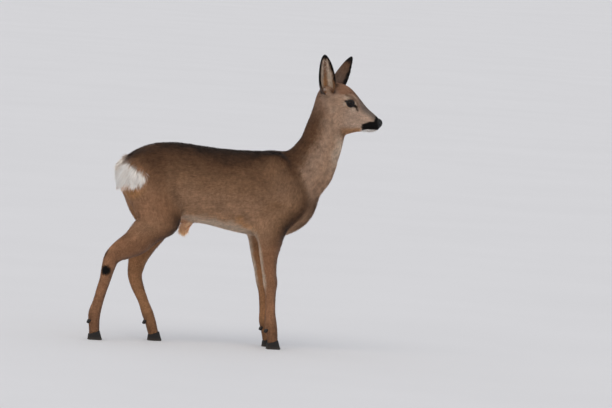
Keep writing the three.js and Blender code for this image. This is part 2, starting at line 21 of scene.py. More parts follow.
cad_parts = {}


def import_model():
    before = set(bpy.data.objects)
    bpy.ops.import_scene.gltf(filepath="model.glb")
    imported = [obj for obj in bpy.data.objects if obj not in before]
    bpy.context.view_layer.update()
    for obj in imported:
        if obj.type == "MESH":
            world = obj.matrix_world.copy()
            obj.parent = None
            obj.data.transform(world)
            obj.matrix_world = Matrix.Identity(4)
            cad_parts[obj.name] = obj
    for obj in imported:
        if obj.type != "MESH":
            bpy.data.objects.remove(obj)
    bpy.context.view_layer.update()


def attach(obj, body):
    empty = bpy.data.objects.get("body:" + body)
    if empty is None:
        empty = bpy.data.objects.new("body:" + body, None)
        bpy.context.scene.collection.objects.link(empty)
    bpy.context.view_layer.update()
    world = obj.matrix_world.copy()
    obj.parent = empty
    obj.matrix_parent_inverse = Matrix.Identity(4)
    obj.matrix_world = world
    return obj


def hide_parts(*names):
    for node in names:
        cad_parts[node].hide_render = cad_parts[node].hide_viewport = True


LOG = logging.getLogger("roe_deer")
Array = np.ndarray

MM = 0.001  # metres in a millimetre
SEED = 11  # of everything random
SIDEWAYS = np.array([0.0, 1.0, 0.0])
DROOP = np.array([0, 0, -0.25])  # how much all hair hangs
LEFT, RIGHT = 1, -1
SIDES = (("left", LEFT), ("right", RIGHT))

HEAD_YAW = math.radians(-12)  # turned towards its right
HEAD_PIVOT = np.array([293.0, -9.0, 800.0])  # where skull and neck meet
HEAD_AXES = np.array([  # ahead, sideways, up
    [math.cos(HEAD_YAW), math.sin(HEAD_YAW), 0],
    [-math.sin(HEAD_YAW), math.cos(HEAD_YAW), 0],
    [0, 0, 1],
])

# Stations are (x, y, z, half depth, half width): the depth lies across the
# chain in its own plane, the width lies sideways.
TRUNK = (
    (-318, 0, 532, 62, 78), (-263, 0, 540, 92, 90), (-203, 0, 530, 112, 91),
    (-133, 0, 514, 123, 94), (-63, 0, 506, 125, 99), (7, 0, 498, 131, 101),
    (77, 0, 493, 137, 95), (137, 0, 491, 135, 82), (188, 0, 473, 80, 60),
)
NECK = (
    (162, 0, 536, 72, 68), (223, 0, 569, 86, 64), (243, 0, 595, 82, 60),
    (262, -1, 635, 73, 54), (272, -3, 663, 69, 51), (280, -5, 700, 66, 49),
    (286, -7, 737, 60, 47), (293, -9, 775, 56, 46),
)
# The head's own chains: (ahead of the pivot, sideways, above it, depth, width).
SKULL = (
    (4, 0, 14, 49, 42), (24, 0, 10, 51, 44), (43, 0, 0, 47, 44), (72, 0, -17, 37, 37),
    (98, 0, -36, 31, 28), (123, 0, -50, 27, 23), (144, 0, -59, 21, 20),
    (153, 0, -58, 17, 18),
)
JAW = (
    (33, 0, -45, 45, 37), (53, 0, -62, 37, 34), (78, 0, -67, 26, 28),
    (103, 0, -69, 20, 22), (126, 0, -71, 17, 18), (134, 0, -72, 13, 14),
)
BROW = ((40, 33, 18, 11, 9), (62, 31, 17, 11, 9), (76, 27, 6, 9, 8))
# Limbs, written for the animal's left side at y > 0.
SHOULDER = (
    (122, 42, 585, 42, 30), (168, 50, 520, 50, 34), (186, 52, 470, 40, 33),
    (140, 58, 425, 44, 33), (112, 60, 385, 46, 30),
)
FORELEG = (
    (112, 60, 400, 50, 30), (116, 59, 352, 42, 27), (115, 57, 309, 33, 24),
    (117, 55, 276, 27.5, 20), (122, 53, 238, 24, 18), (127, 52, 211, 24, 19),
    (130, 52, 181, 18.5, 15), (132, 51, 150, 17, 13.5), (134, 51, 116, 17, 13.5),
    (137, 51, 84, 20, 17), (142, 51, 62, 19, 17), (146, 51, 38, 17.5, 17),
    (148, 51, 22, 17, 16),
)
LEAN = {"top": 400, "ahead": 5, "back": -10}  # of the left foreleg, from foot to elbow
THIGH = ((-290, 38, 520, 78, 53), (-262, 45, 450, 77, 51), (-240, 52, 402, 62, 44))
HIND_RIGHT = (
    (-232, 55, 382, 45, 36), (-280, 56, 360, 52, 36), (-314, 56, 322, 46, 31),
    (-350, 55, 298, 38, 25), (-374, 54, 283, 31, 22), (-393, 53, 262, 26, 20),
    (-402, 52, 228, 22, 18), (-408, 51, 195, 19, 15), (-417, 50, 160, 18, 14),
    (-426, 50, 122, 17.5, 14), (-435, 50, 86, 20, 17), (-435, 50, 60, 18.5, 17),
    (-433, 50, 38, 17.5, 17), (-432, 50, 22, 17, 16),
)
HIND_LEFT = (
    (-224, 55, 392, 45, 36), (-243, 57, 360, 52, 36), (-266, 56, 315, 43, 31),
    (-284, 55, 270, 33, 25), (-292, 54, 236, 28, 22), (-294, 53, 205, 23.5, 20),
    (-284, 52, 172, 21, 17), (-270, 51, 142, 18, 14.5), (-259, 50, 118, 17, 14),
    (-246, 50, 88, 19, 17), (-235, 50, 62, 18, 17), (-227, 50, 38, 17.5, 17),
    (-222, 50, 22, 17, 16),
)
TAIL = (
    (-348, 0, 586, 8, 12), (-370, 0, 566, 10, 13), (-381, 0, 544, 9, 11),
    (-385, 0, 524, 6, 8),
)
SHEATH = ((-138, 0, 400, 20, 14), (-143, 0, 386, 13, 10), (-149, 0, 373, 5, 5))


class Foot(NamedTuple):
    """A foot: how far ahead its sole's middle and its fetlock are, and its side."""

    sole: float
    fetlock: float
    side: int


@dataclass(frozen=True)
class Coronet:
    """The sloping line where hair ends and horn begins."""

    front: float = 30  # height above the floor
    back: float = 19
    run: float = 40  # from back to front
    around: float = 60  # a foot reaches no further than this
    top: float = 90

    def height(self, ahead: Array) -> Array:
        """Height of the line at places ahead of the sole's middle."""
        slope = (self.front - self.back) / self.run
        return (self.front + self.back) / 2 + slope * ahead


FEET = {
    "fore_left": Foot(158, 145, LEFT), "fore_right": Foot(152, 141, RIGHT),
    "hind_left": Foot(-216, -236, LEFT), "hind_right": Foot(-428, -435, RIGHT),
}
FOOT_OUT = 51  # from the middle plane to a foot's middle
CORONET = Coronet()


# ------------------------------------------------------------------ helpers
def ramp(value: Array, start: float, end: float) -> Array:
    """A smooth rise from 0 at the start to 1 at the end, which may be the lower one."""
    t = np.clip((value - start) / (end - start), 0, 1)
    return t * t * (3 - 2 * t)


def unit(vectors: Array) -> Array:
    """Vectors scaled to length one."""
    return vectors / np.maximum(np.linalg.norm(vectors, axis=-1, keepdims=True), 1e-9)


def melt(a: Array, b: Array, blend: float) -> Array:
    """Two fields joined, with a round fillet about as wide as the blend."""
    share = np.maximum(blend - np.abs(a - b), 0) / blend
    return np.minimum(a, b) - share * share * blend / 4


def head_place(local: Iterable[float]) -> Array:
    """Places given from the head's pivot, in the model's frame."""
    return HEAD_PIVOT + np.asarray(local, float) @ HEAD_AXES


def head_local(points: Array) -> Array:
    """Places in the model's frame, from the head's pivot: ahead, sideways, up."""
    return (points - HEAD_PIVOT) @ HEAD_AXES.T


def head_folded(points: Array) -> Array:
    """The same as head_local, with the right half of the head laid on the left."""
    local = head_local(points)
    local[:, 1] = np.abs(local[:, 1])
    return local


def about_head(local: Array) -> Array:
    """Which places from the head's pivot are on the head or just behind it."""
    return (local[:, 0] > -5) & (local[:, 2] > -125) & (np.abs(local[:, 1]) < 75)


def along_surface(vectors: Array, normals: Array) -> Array:
    """Vectors laid flat on a surface and scaled to length one."""
    return unit(vectors - np.einsum("ij,ij->i", vectors, normals)[:, None] * normals)


def side_distance(points: Array, *path: tuple[float, float]) -> Array:
    """Distance to a broken line, seen from the side.

    Args:
        points: places in millimetres.
        path: the line's corners, each ahead and up.

    Returns:
        The distance of each point.
    """
    flat = points[:, [0, 2]]
    corners = np.asarray(path, float)
    nearest = np.full(len(flat), np.inf)
    for a, b in zip(corners[:-1], corners[1:]):
        t = np.clip((flat - a) @ (b - a) / ((b - a) @ (b - a)), 0, 1)
        nearest = np.minimum(nearest, np.linalg.norm(flat - a - t[:, None] * (b - a), axis=1))
    return nearest


def blob_distance(points: Array, middle: tuple, reach: tuple) -> Array:
    """Distance from a middle, 1 at the reach along each axis."""
    return np.linalg.norm((points - np.array(middle)) / np.array(reach), axis=1)


def between_nodes(grid: Array, cell: Array, share: Array) -> Array:
    """Reads a grid of values between its nodes.

    Args:
        grid: values at the nodes, repeated beyond its edges.
        cell: the node below each place.
        share: how far each place is towards the next node, along each axis.

    Returns:
        A value for each place.
    """
    total = np.zeros((len(cell), *grid.shape[3:]))
    for corner in np.ndindex(2, 2, 2):
        weight = np.prod(np.where(np.array(corner) == 1, share, 1 - share), axis=1)
        i, j, k = ((cell + corner) % grid.shape[:3]).T
        total += (weight * grid[i, j, k].T).T
    return total


def linear(hex_code: str) -> tuple[float, float, float]:
    """An sRGB hex colour as linear red, green and blue."""
    channels = [int(hex_code.lstrip("#")[i:i + 2], 16) / 255 for i in (0, 2, 4)]
    return tuple(c / 12.92 if c <= 0.04045 else ((c + 0.055) / 1.055) ** 2.4 for c in channels)


class Mottle:
    """Smooth seeded noise in space."""

    def __init__(self, seed: int, size: int = 32) -> None:
        """Draws the lattice of random values that the noise runs between."""
        self.lattice = np.random.default_rng(SEED + seed).random((size, size, size))

    def at(self, points: Array, grain: float | tuple[float, float, float]) -> Array:
        """The noise at points.

        Args:
            points: places in millimetres.
            grain: distance between two blotches, along all axes or each.

        Returns:
            Values from 0 to 1.
        """
        scaled = points / np.asarray(grain, float)
        cell = np.floor(scaled).astype(int)
        share = scaled - cell
        return between_nodes(self.lattice, cell, share * share * (3 - 2 * share))


# --------------------------------------------------------------------- body
@dataclass
class Chain:
    """A mass of flesh along a curve of oval stations, and how hair grows on it."""

    name: str
    stations: tuple
    coat: tuple[float, float]  # depth of the coat at its first and last station
    hair: tuple[float, float]  # length of the hair at the same places
    lie: int = 1  # hair lies along the chain, or against it (-1)
    fade: float = 1.0  # how soon the first station's coat gives way to the last's
    side: Array = field(default_factory=lambda: SIDEWAYS)
    steps: int = 4
    reach: float = 46.0  # beyond this, distance is only that to the chain's bounds

    def __post_init__(self) -> None:
        """Puts smooth steps between the stations."""
        s = np.asarray(self.stations, float)
        padded = np.vstack([s[:1], s, s[-1:]])
        t = (np.arange(self.steps) / self.steps)[:, None]
        rows = []
        for a, b, c, d in zip(padded[:-3], padded[1:-2], padded[2:-1], padded[3:]):
            rows.append(0.5 * (2 * b + (c - a) * t + (2 * a - 5 * b + 4 * c - d) * t ** 2
                               + (3 * b - a - 3 * c + d) * t ** 3))
        self.fine = np.vstack(rows + [s[-1:]])
        width = self.fine[:, 3:].max(axis=1, keepdims=True)
        self.low = (self.fine[:, :3] - width).min(axis=0)
        self.high = (self.fine[:, :3] + width).max(axis=0)
        self.tangents = unit(np.gradient(self.fine[:, :3], axis=0))

    def near(self, points: Array) -> tuple[Array, Array]:
        """How near points are to the chain.

        Args:
            points: places in millimetres.

        Returns:
            Signed distance to its surface, and the place along it from 0 to 1.
        """
        outside = np.maximum(np.maximum(self.low - points, points - self.high), 0)
        distance = np.linalg.norm(outside, axis=1)
        along = np.zeros(len(points))
        close = np.flatnonzero(distance <= self.reach)
        if len(close) == 0:
            return distance, along
        p = points[close]
        best = np.full(len(close), np.inf)
        place = np.zeros(len(close))
        for i, (a, b) in enumerate(zip(self.fine[:-1], self.fine[1:])):
            run = b[:3] - a[:3]
            offset = p - a[:3]
            t = np.clip(offset @ run / (run @ run), 0, 1)
            offset -= t[:, None] * run
            depth = a[3] + t * (b[3] - a[3])
            width = a[4] + t * (b[4] - a[4])
            lateral = offset @ self.side
            square = np.einsum("ij,ij->i", offset, offset)
            across = lateral / width
            inplane = np.sqrt(np.maximum(square - lateral ** 2, 0)) / depth
            reach = np.sqrt(across ** 2 + inplane ** 2)
            slope = np.sqrt((across / width) ** 2 + (inplane / depth) ** 2)
            value = np.where(slope > 1e-9, reach * (reach - 1) / np.maximum(slope, 1e-9),
                             -np.minimum(width, depth))
            closer = value < best
            best[closer] = value[closer]
            place[closer] = i + t[closer]
        distance[close] = best
        along[close] = place / (len(self.fine) - 1)
        return distance, along

    def tangent(self, along: Array) -> Array:
        """The chain's direction at places along it."""
        return unit(self.between(self.tangents, along))

    @staticmethod
    def between(rows: Array, along: Array) -> Array:
        """The first three values of rows, read between them at places along the chain."""
        number = np.arange(len(rows))
        at = along * (len(rows) - 1)
        return np.stack([np.interp(at, number, rows[:, k]) for k in range(3)], axis=1)

    def angle(self, points: Array, along: Array) -> Array:
        """How far round the chain points lie.

        Args:
            points: places in millimetres.
            along: the place of each along the chain.

        Returns:
            Values from 0 to 1.
        """
        front = np.cross(self.tangent(along), self.side)
        offset = points - self.between(self.fine, along)
        turn = np.arctan2(offset @ self.side, np.einsum("ij,ij->i", offset, front))
        return turn / (2 * math.pi) + 0.5

    def fading(self, ends: tuple[float, float], along: Array) -> Array:
        """A value that changes from the first station's to the last's."""
        return ends[1] + (ends[0] - ends[1]) * (1 - along) ** self.fade


def mirrored(stations: tuple) -> tuple:
    """Stations on the other side of the animal."""
    return tuple((x, -y, z, d, w) for x, y, z, d, w in stations)


def on_head(stations: tuple) -> tuple:
    """The head's own stations in the model's frame."""
    return tuple((*head_place(s[:3]), s[3], s[4]) for s in stations)


def leaning(stations: tuple) -> tuple:
    """The left foreleg's stations: its elbow further back, its foot further ahead."""
    sweep = (LEAN["back"] - LEAN["ahead"]) / LEAN["top"]
    lean = [LEAN["ahead"] + sweep * s[2] for s in stations]
    return tuple((x + by, y, z, d, w) for (x, y, z, d, w), by in zip(stations, lean))


@dataclass(frozen=True)
class Hollow:
    """A soft hollow on both sides of the head, or a swelling where its depth is negative."""

    place: tuple[float, float, float]  # ahead, out, up from the head's pivot
    reach: tuple[float, float, float]
    depth: float

    def sink(self, folded: Array) -> Array:
        """How far the surface goes in."""
        away = (folded - np.array(self.place)) / np.array(self.reach)
        return self.depth * np.exp(-(away ** 2).sum(axis=1))


@dataclass(frozen=True)
class Crease:
    """A groove on both sides of the head, along a line in its side view."""

    path: tuple[tuple[float, float], ...]  # (ahead, up) from the head's pivot
    width: float
    depth: float

    def away(self, folded: Array) -> Array:
        """Distance to the line in the side view."""
        return side_distance(folded, *self.path)

    def sink(self, folded: Array) -> Array:
        """How far the surface goes in."""
        return self.depth * np.exp(-(self.away(folded) / self.width) ** 2)


@dataclass(frozen=True)
class EyeSocket:
    """The eye's place, its lids and the almond opening between them."""

    place: tuple[float, float, float] = (59, 34, -1)
    ball: float = 14.0
    lid: float = 1.9  # thickness of a lid
    looks: tuple[float, float, float] = (0.30, 0.94, 0.10)
    tilt: float = math.radians(24)  # of the opening, its front corner lower
    half_length: float = 0.83  # of the opening, as a share of the ball's radius
    half_height: float = 0.56
    rounding: float = 0.7  # of the lids' curve, 0.5 for an oval and 1 for a pointed lens
    corner: float = 0.6  # how fast bare skin narrows beyond the corners
    behind: float = 0.7  # mm of room round the ball
    fold: tuple[float, float, float] = (5.0, 1.3, 0.9)  # place, width, depth of the lid's fold
    grip: float = 22.0  # mm from the ball's centre that the eye's own marks reach

    def axes(self) -> Array:
        """Unit vectors along the opening, up across it and out of it, in the folded head."""
        out = unit(np.array(self.looks))
        along = np.array([math.cos(self.tilt), 0, -math.sin(self.tilt)])
        along = unit(along - (along @ out) * out)
        return np.array([along, np.cross(out, along), out])

    def opening(self, folded: Array) -> tuple[Array, Array]:
        """How far points are from the opening between the lids.

        Args:
            folded: places from the head's pivot, folded onto its left half.

        Returns:
            Distance outside the opening along the ball, negative within it, and the
            distance from the ball's centre.
        """
        offset = folded - np.array(self.place)
        radius = np.linalg.norm(offset, axis=1)
        along, up, out = (offset @ self.axes().T / np.maximum(radius, 1e-6)[:, None]).T
        limit = self.lid_height(along / self.half_length)
        beyond = np.maximum(np.abs(along) - self.half_length, 0)
        gap = np.hypot(np.abs(up) - limit, beyond) * np.sign(np.abs(up) - limit + 1e-9)
        gap = np.where(out > 0.1, gap, 1.0)
        return gap * self.ball, radius

    def lid_height(self, share: Array) -> Array:
        """Height of a lid's edge, as a share of the radius, from corner (-1) to corner (1)."""
        return self.half_height * np.maximum(1 - share ** 2, 0) ** self.rounding

    def bare(self, gap: Array, radius: Array) -> Array:
        """Distance outside the opening, as the bare rim takes it: narrow at the corners."""
        return gap + self.corner * np.maximum(radius - self.ball - self.lid, 0)

    def sink(self, gap: Array, radius: Array) -> Array:
        """How far the fold above and below the lids goes in."""
        place, width, depth = self.fold
        near = ramp(radius, self.ball + 10, self.ball + 4)
        return depth * np.exp(-((gap - place) / width) ** 2) * near


class Body:
    """The whole animal's flesh as one field, and the coat's depth and lie on it."""

    blend = {"neck": 30, "head": 22, "jaw": 22, "brow": 12, "shoulder": 34, "foreleg": 20,
             "thigh": 40, "shank": 14, "tail": 14, "sheath": 10, "ear": 12, "lid": 5,
             "lid_edge": 1.2}
    hollows = (
        Hollow((166, 9, -53), (4.5, 2.8, 3.4), 8.0),  # nostril
        Hollow((162, 13, -55.5), (4, 3, 2), 4.0),  # its slit
        Hollow((160, 12, -46), (6, 4, 3), -1.5),  # its wing
        Hollow((104, 24, -46), (17, 10, 9), 2.6),  # beside the bridge
        Hollow((74, 34, -36), (22, 9, 10), -2.2),  # cheek bone
        Hollow((52, 36, -62), (20, 12, 18), -2.0),  # jaw muscle
        Hollow((28, 38, 2), (11, 10, 14), 2.2),  # temple
    )
    mouth = Crease(((152, -76), (138, -77), (124, -76), (108, -80)), 2.0, 2.4)
    tear = Crease(((74, -5), (82, -13), (89, -23)), 2.0, 1.8)
    creases = (mouth, tear, Crease(((100, -82), (86, -92), (70, -97)), 4.0, 1.2))
    socket = EyeSocket()

    def __init__(self) -> None:
        """Sets out the chains."""
        side = HEAD_AXES[1]
        self.trunk = Chain("trunk", TRUNK, (11, 9), (36, 28), lie=-1)
        self.neck = Chain("neck", NECK, (9, 7), (30, 22), lie=-1)
        self.skull = Chain("head", on_head(SKULL), (3.4, 1.3), (13, 5), lie=-1, side=side)
        self.jaw = Chain("head", on_head(JAW), (4.0, 1.3), (15, 5), lie=-1, side=side)
        self.brows = [Chain("head", on_head(s), (1.4, 1.2), (7, 6), lie=-1, side=side)
                      for s in (BROW, mirrored(BROW))]
        self.shoulders = self.pair("shoulder", SHOULDER, SHOULDER, (9, 8), (30, 22), 1)
        self.forelegs = self.pair("foreleg", leaning(FORELEG), FORELEG, (7, 1.7), (21, 7), 3)
        self.thighs = self.pair("haunch", THIGH, THIGH, (10, 8), (32, 24), 1)
        self.hinds = self.pair("hindleg", HIND_LEFT, HIND_RIGHT, (8, 1.7), (23, 7), 2.6)
        self.tail = Chain("rump", TAIL, (6, 4), (20, 20))
        self.sheath = Chain("brush", SHEATH, (0.5, 0.5), (50, 42))
        self.ear_roots = [Chain("head", on_head(((*ear.base, 16, 15), (*ear.at(0.04), 13, 12))),
                                (1.5, 1.0), (9, 8), side=side) for ear in EARS.values()]
        self.chains = [self.trunk, self.neck, self.skull, self.jaw, *self.brows,
                       *self.shoulders, *self.forelegs, *self.thighs, *self.hinds,
                       self.tail, self.sheath, *self.ear_roots]

    @staticmethod
    def pair(name: str, left: tuple, right: tuple, coat: tuple[float, float],
             hair: tuple[float, float], fade: float) -> list[Chain]:
        """The same limb on both sides.

        Args:
            name: the limb.
            left: the left one's stations.
            right: the right one's, written for the left side.
            coat: depth of the coat at both ends.
            hair: length of the hair there.
            fade: how soon the first gives way to the last.

        Returns:
            The left chain and the right one.
        """
        return [Chain(f"{name}_left", left, coat, hair, fade=fade),
                Chain(f"{name}_right", mirrored(right), coat, hair, fade=fade)]

    def measure(self, points: Array) -> tuple[Array, Array]:
        """Distance to every chain and the place along it, one row for each chain."""
        pairs = [chain.near(points) for chain in self.chains]
        return np.array([d for d, _ in pairs]), np.array([a for _, a in pairs])

    def flesh(self, distances: Array) -> Array:
        """All the chains joined, out to the tips of the coat.

        Args:
            distances: a row for each chain, from measure.

        Returns:
            The joined field, below zero inside.
        """
        rows = {id(chain): row for chain, row in zip(self.chains, distances)}

        def joined(value: Array, kind: str, *chains: Chain) -> Array:
            """Melts chains into a field."""
            for chain in chains:
                value = melt(value, rows[id(chain)], self.blend[kind])
            return value

        head = joined(rows[id(self.skull)], "jaw", self.jaw)
        head = joined(head, "brow", *self.brows)
        head = joined(head, "ear", *self.ear_roots)
        body = joined(rows[id(self.trunk)], "neck", self.neck)
        body = melt(body, head, self.blend["head"])
        body = joined(body, "shoulder", *self.shoulders)
        body = joined(body, "foreleg", *self.forelegs)
        for thigh, hind in zip(self.thighs, self.hinds):
            body = melt(body, joined(rows[id(thigh)], "shank", hind), self.blend["thigh"])
        return joined(joined(body, "tail", self.tail), "sheath", self.sheath)

    @staticmethod
    def weights(distances: Array, softness: float = 11.0) -> Array:
        """Each chain's say at each point, all together one."""
        share = np.exp(-(distances - distances.min(axis=0)) / softness)
        return share / share.sum(axis=0)

    def depth(self, points: Array, weights: Array, along: Array) -> Array:
        """Depth of the coat at points, a little more on the rump patch."""
        total = sum(w * c.fading(c.coat, a) for c, w, a in zip(self.chains, weights, along))
        return total + 3.0 * Markings.rump_patch(points)

    def hair(self, points: Array, weights: Array, along: Array) -> Array:
        """Length of the hair at points, a quarter more on the rump patch."""
        total = sum(w * c.fading(c.hair, a) for c, w, a in zip(self.chains, weights, along))
        return total * (1 + 0.25 * Markings.rump_patch(points))

    def lie(self, weights: Array, along: Array) -> tuple[Array, Array]:
        """The lie of the hair.

        Args:
            weights: each chain's say at each point.
            along: the place of each point along each chain.

        Returns:
            Which way hair lies, and which way the animal's upper side is.
        """
        flow, upper = np.zeros((2, weights.shape[1], 3))
        for chain, say, place in zip(self.chains, weights, along):
            tangent = chain.tangent(place)
            flow += say[:, None] * chain.lie * tangent
            upper += say[:, None] * np.cross(tangent, chain.side)
        return flow + DROOP, unit(upper)

    def coronet(self, points: Array) -> Array:
        """Distance below the sloping line where hair ends.

        Args:
            points: places in millimetres.

        Returns:
            The distance at the nearest foot, minus infinity away from the feet.
        """
        worst = np.full(len(points), -np.inf)
        x, y, z = points.T
        for foot in FEET.values():
            ahead = x - foot.sole
            here = (np.abs(ahead) < CORONET.around) & (y * foot.side > 0) & (z < CORONET.top)
            line = CORONET.height(ahead) + 0.5
            worst = np.where(here, np.maximum(worst, line - z), worst)
        return worst

    def face(self, points: Array, value: Array) -> Array:
        """Cuts the head's hollows, creases, lids and sockets into the skin's field.

        Args:
            points: places in millimetres.
            value: the plain field there.

        Returns:
            The field with the face in it.
        """
        near = np.flatnonzero(about_head(head_local(points)))
        folded = head_folded(points[near])
        part = value[near]
        for shape in (*self.hollows, *self.creases):
            part = part + shape.sink(folded)
        gap, radius = self.socket.opening(folded)
        ball = self.socket.ball
        part = melt(part, radius - ball - self.socket.lid, self.blend["lid"])
        part = part + self.socket.sink(gap, radius)
        carve = np.maximum(gap, ball - self.socket.behind - radius)
        part = -melt(-part, carve, self.blend["lid_edge"])
        value = value.copy()
        value[near] = part
        return value

    def skin(self, points: Array) -> Array:
        """The field that is zero on the skin, inside the flesh by the coat's depth.

        Args:
            points: places in millimetres.

        Returns:
            Its value at each point.
        """
        distances, along = self.measure(points)
        depth = self.depth(points, self.weights(distances), along)
        value = self.face(points, self.flesh(distances) + depth)
        return np.maximum(value, self.coronet(points))

    def settle(self, points: Array, steps: int, probe: float, most: float) -> Array:
        """Moves points onto the skin.

        Args:
            points: places near the skin.
            steps: how often they are moved.
            probe: distance over which the slope is taken.
            most: the longest move of one step.

        Returns:
            The moved places.
        """
        points = points.copy()
        for _ in range(steps):
            value = self.skin(points)
            slope = self.slope(points, value, probe)
            square = np.maximum((slope ** 2).sum(axis=1), 0.05)
            move = -(value / square)[:, None] * slope
            length = np.linalg.norm(move, axis=1, keepdims=True)
            points += move * np.minimum(1, most / np.maximum(length, 1e-9))
        return points

    def slope(self, points: Array, value: Array, probe: float) -> Array:
        """The skin field's gradient."""
        shifted = [self.skin(points + probe * np.eye(3)[k]) for k in range(3)]
        return (np.stack(shifted, axis=1) - value[:, None]) / probe


# --------------------------------------------------------------------- ears
@dataclass(frozen=True)
class Ear:
    """A cupped ear: a curled shell, nearly a tube at its base and open above."""

    base: tuple[float, float, float]
    tip: tuple[float, float, float]
    open_to: tuple[float, float, float]
    thickness: float = 3.0
    inset: float = 1.2  # the coat on the ear
    broadest: float = 26.0  # half width
    curl: tuple[float, float] = (145, 62)  # half the arc in degrees, at the foot and the tip
    rim: float = 0.6  # thickness of the rim
    rib: float = 0.5  # height of the ribs in the cup
    rings: int = 34
    arc: int = 26

    def at(self, t: float) -> tuple[float, ...]:
        """A place on the line from base to tip, from the head's pivot."""
        return tuple(b + t * (e - b) for b, e in zip(self.base, self.tip))

    def half_width(self, t: float) -> float:
        """Half width at a share of the length: a leaf, broadest below its middle."""
        leaf = math.sin(math.pi * (0.16 + 0.84 * t) ** 0.85) ** 0.52
        return self.broadest * leaf + 1.5 - self.inset

    def shell(self) -> tuple[Array, Array, Array, Array, Array]:
        """The ear's closed shell.

        Returns:
            Its points, triangles, place along the ear, whether each point is inside the cup, and
            how near it is to the rim (1).
        """
        foot = head_place(self.base)
        reach = head_place(self.tip) - foot
        length = np.linalg.norm(reach)
        axis = reach / length
        looks = np.asarray(self.open_to) @ HEAD_AXES
        looks = unit(looks - (looks @ axis) * axis)
        across = np.cross(looks, axis)
        foot_curl, tip_curl = self.curl
        rings, along, inner, rim = [], [], [], []
        for r in range(self.rings + 1):
            t = 0.985 * r / self.rings
            curl = math.radians(foot_curl + (tip_curl - foot_curl) * t ** 0.6)
            full = self.half_width(t) / math.sin(min(curl, math.pi / 2))
            thick = self.thickness * (1.3 - 0.75 * t)
            spine = foot + axis * length * t
            angles = np.linspace(-curl, curl, self.arc)
            edge = np.sqrt(np.clip(1 - np.abs(angles / curl) ** 6, 0, 1))  # thins to the rim
            wall = self.rim + (thick - self.rim) * edge
            ribs = self.rib * np.cos(angles * 9) * ramp(np.array([t]), 0.1, 0.4)
            outside = (angles, np.full(self.arc, full))
            for turn, radius in (outside, (angles[::-1], full - wall + ribs)):
                rings.append(spine + np.outer(np.sin(turn) * radius, across)
                             + np.outer(full * 0.5 - np.cos(turn) * radius, looks))
            along += [t] * (2 * self.arc)
            inner += [0] * self.arc + [1] * self.arc
            rim += [*np.abs(angles / curl), *np.abs(angles / curl)]
        points = np.vstack(rings)
        around = 2 * self.arc
        r, i = np.meshgrid(np.arange(self.rings), np.arange(around), indexing="ij")
        a = (r * around + i).ravel()
        b = (r * around + (i + 1) % around).ravel()
        sides = np.vstack([np.stack([a, b, b + around], 1),
                           np.stack([a, b + around, a + around], 1)])
        top = self.rings * around
        k = np.arange(self.arc - 1)
        low = np.vstack([np.stack([k, around - 2 - k, k + 1], 1),
                         np.stack([k, around - 1 - k, around - 2 - k], 1)])
        caps = np.vstack([low, low[:, ::-1] + top])
        return points, np.vstack([sides, caps]), np.array(along), np.array(inner), np.array(rim)


EARS = {
    "right": Ear((-17, -31, 34), (-31, -74, 149), (0.3, -1, 0.1)),
    "left": Ear((-5, 31, 34), (56, 72, 145), (0.75, 0.65, 0.1)),
}


# ----------------------------------------------------------------- markings
class Fur(Enum):
    """The colours of the winter coat."""

    BACK = "#33241b"
    UMBER = "#60432f"
    GREY_BROWN = "#8c6a4f"
    FAWN = "#b08a6c"
    RUFOUS = "#9c7052"
    OCHRE = "#c08d5e"
    # the brush's pale hair, brightened past its own colour: painted light, as if lit from behind
    RUST = "#ffcfa6"
    CREAM = "#e2cfba"
    WHITE = "#fbf5ef"
    ASH = "#c6ab97"
    SLATE = "#776a62"
    CROWN = "#936a50"
    BLACK = "#100d0c"


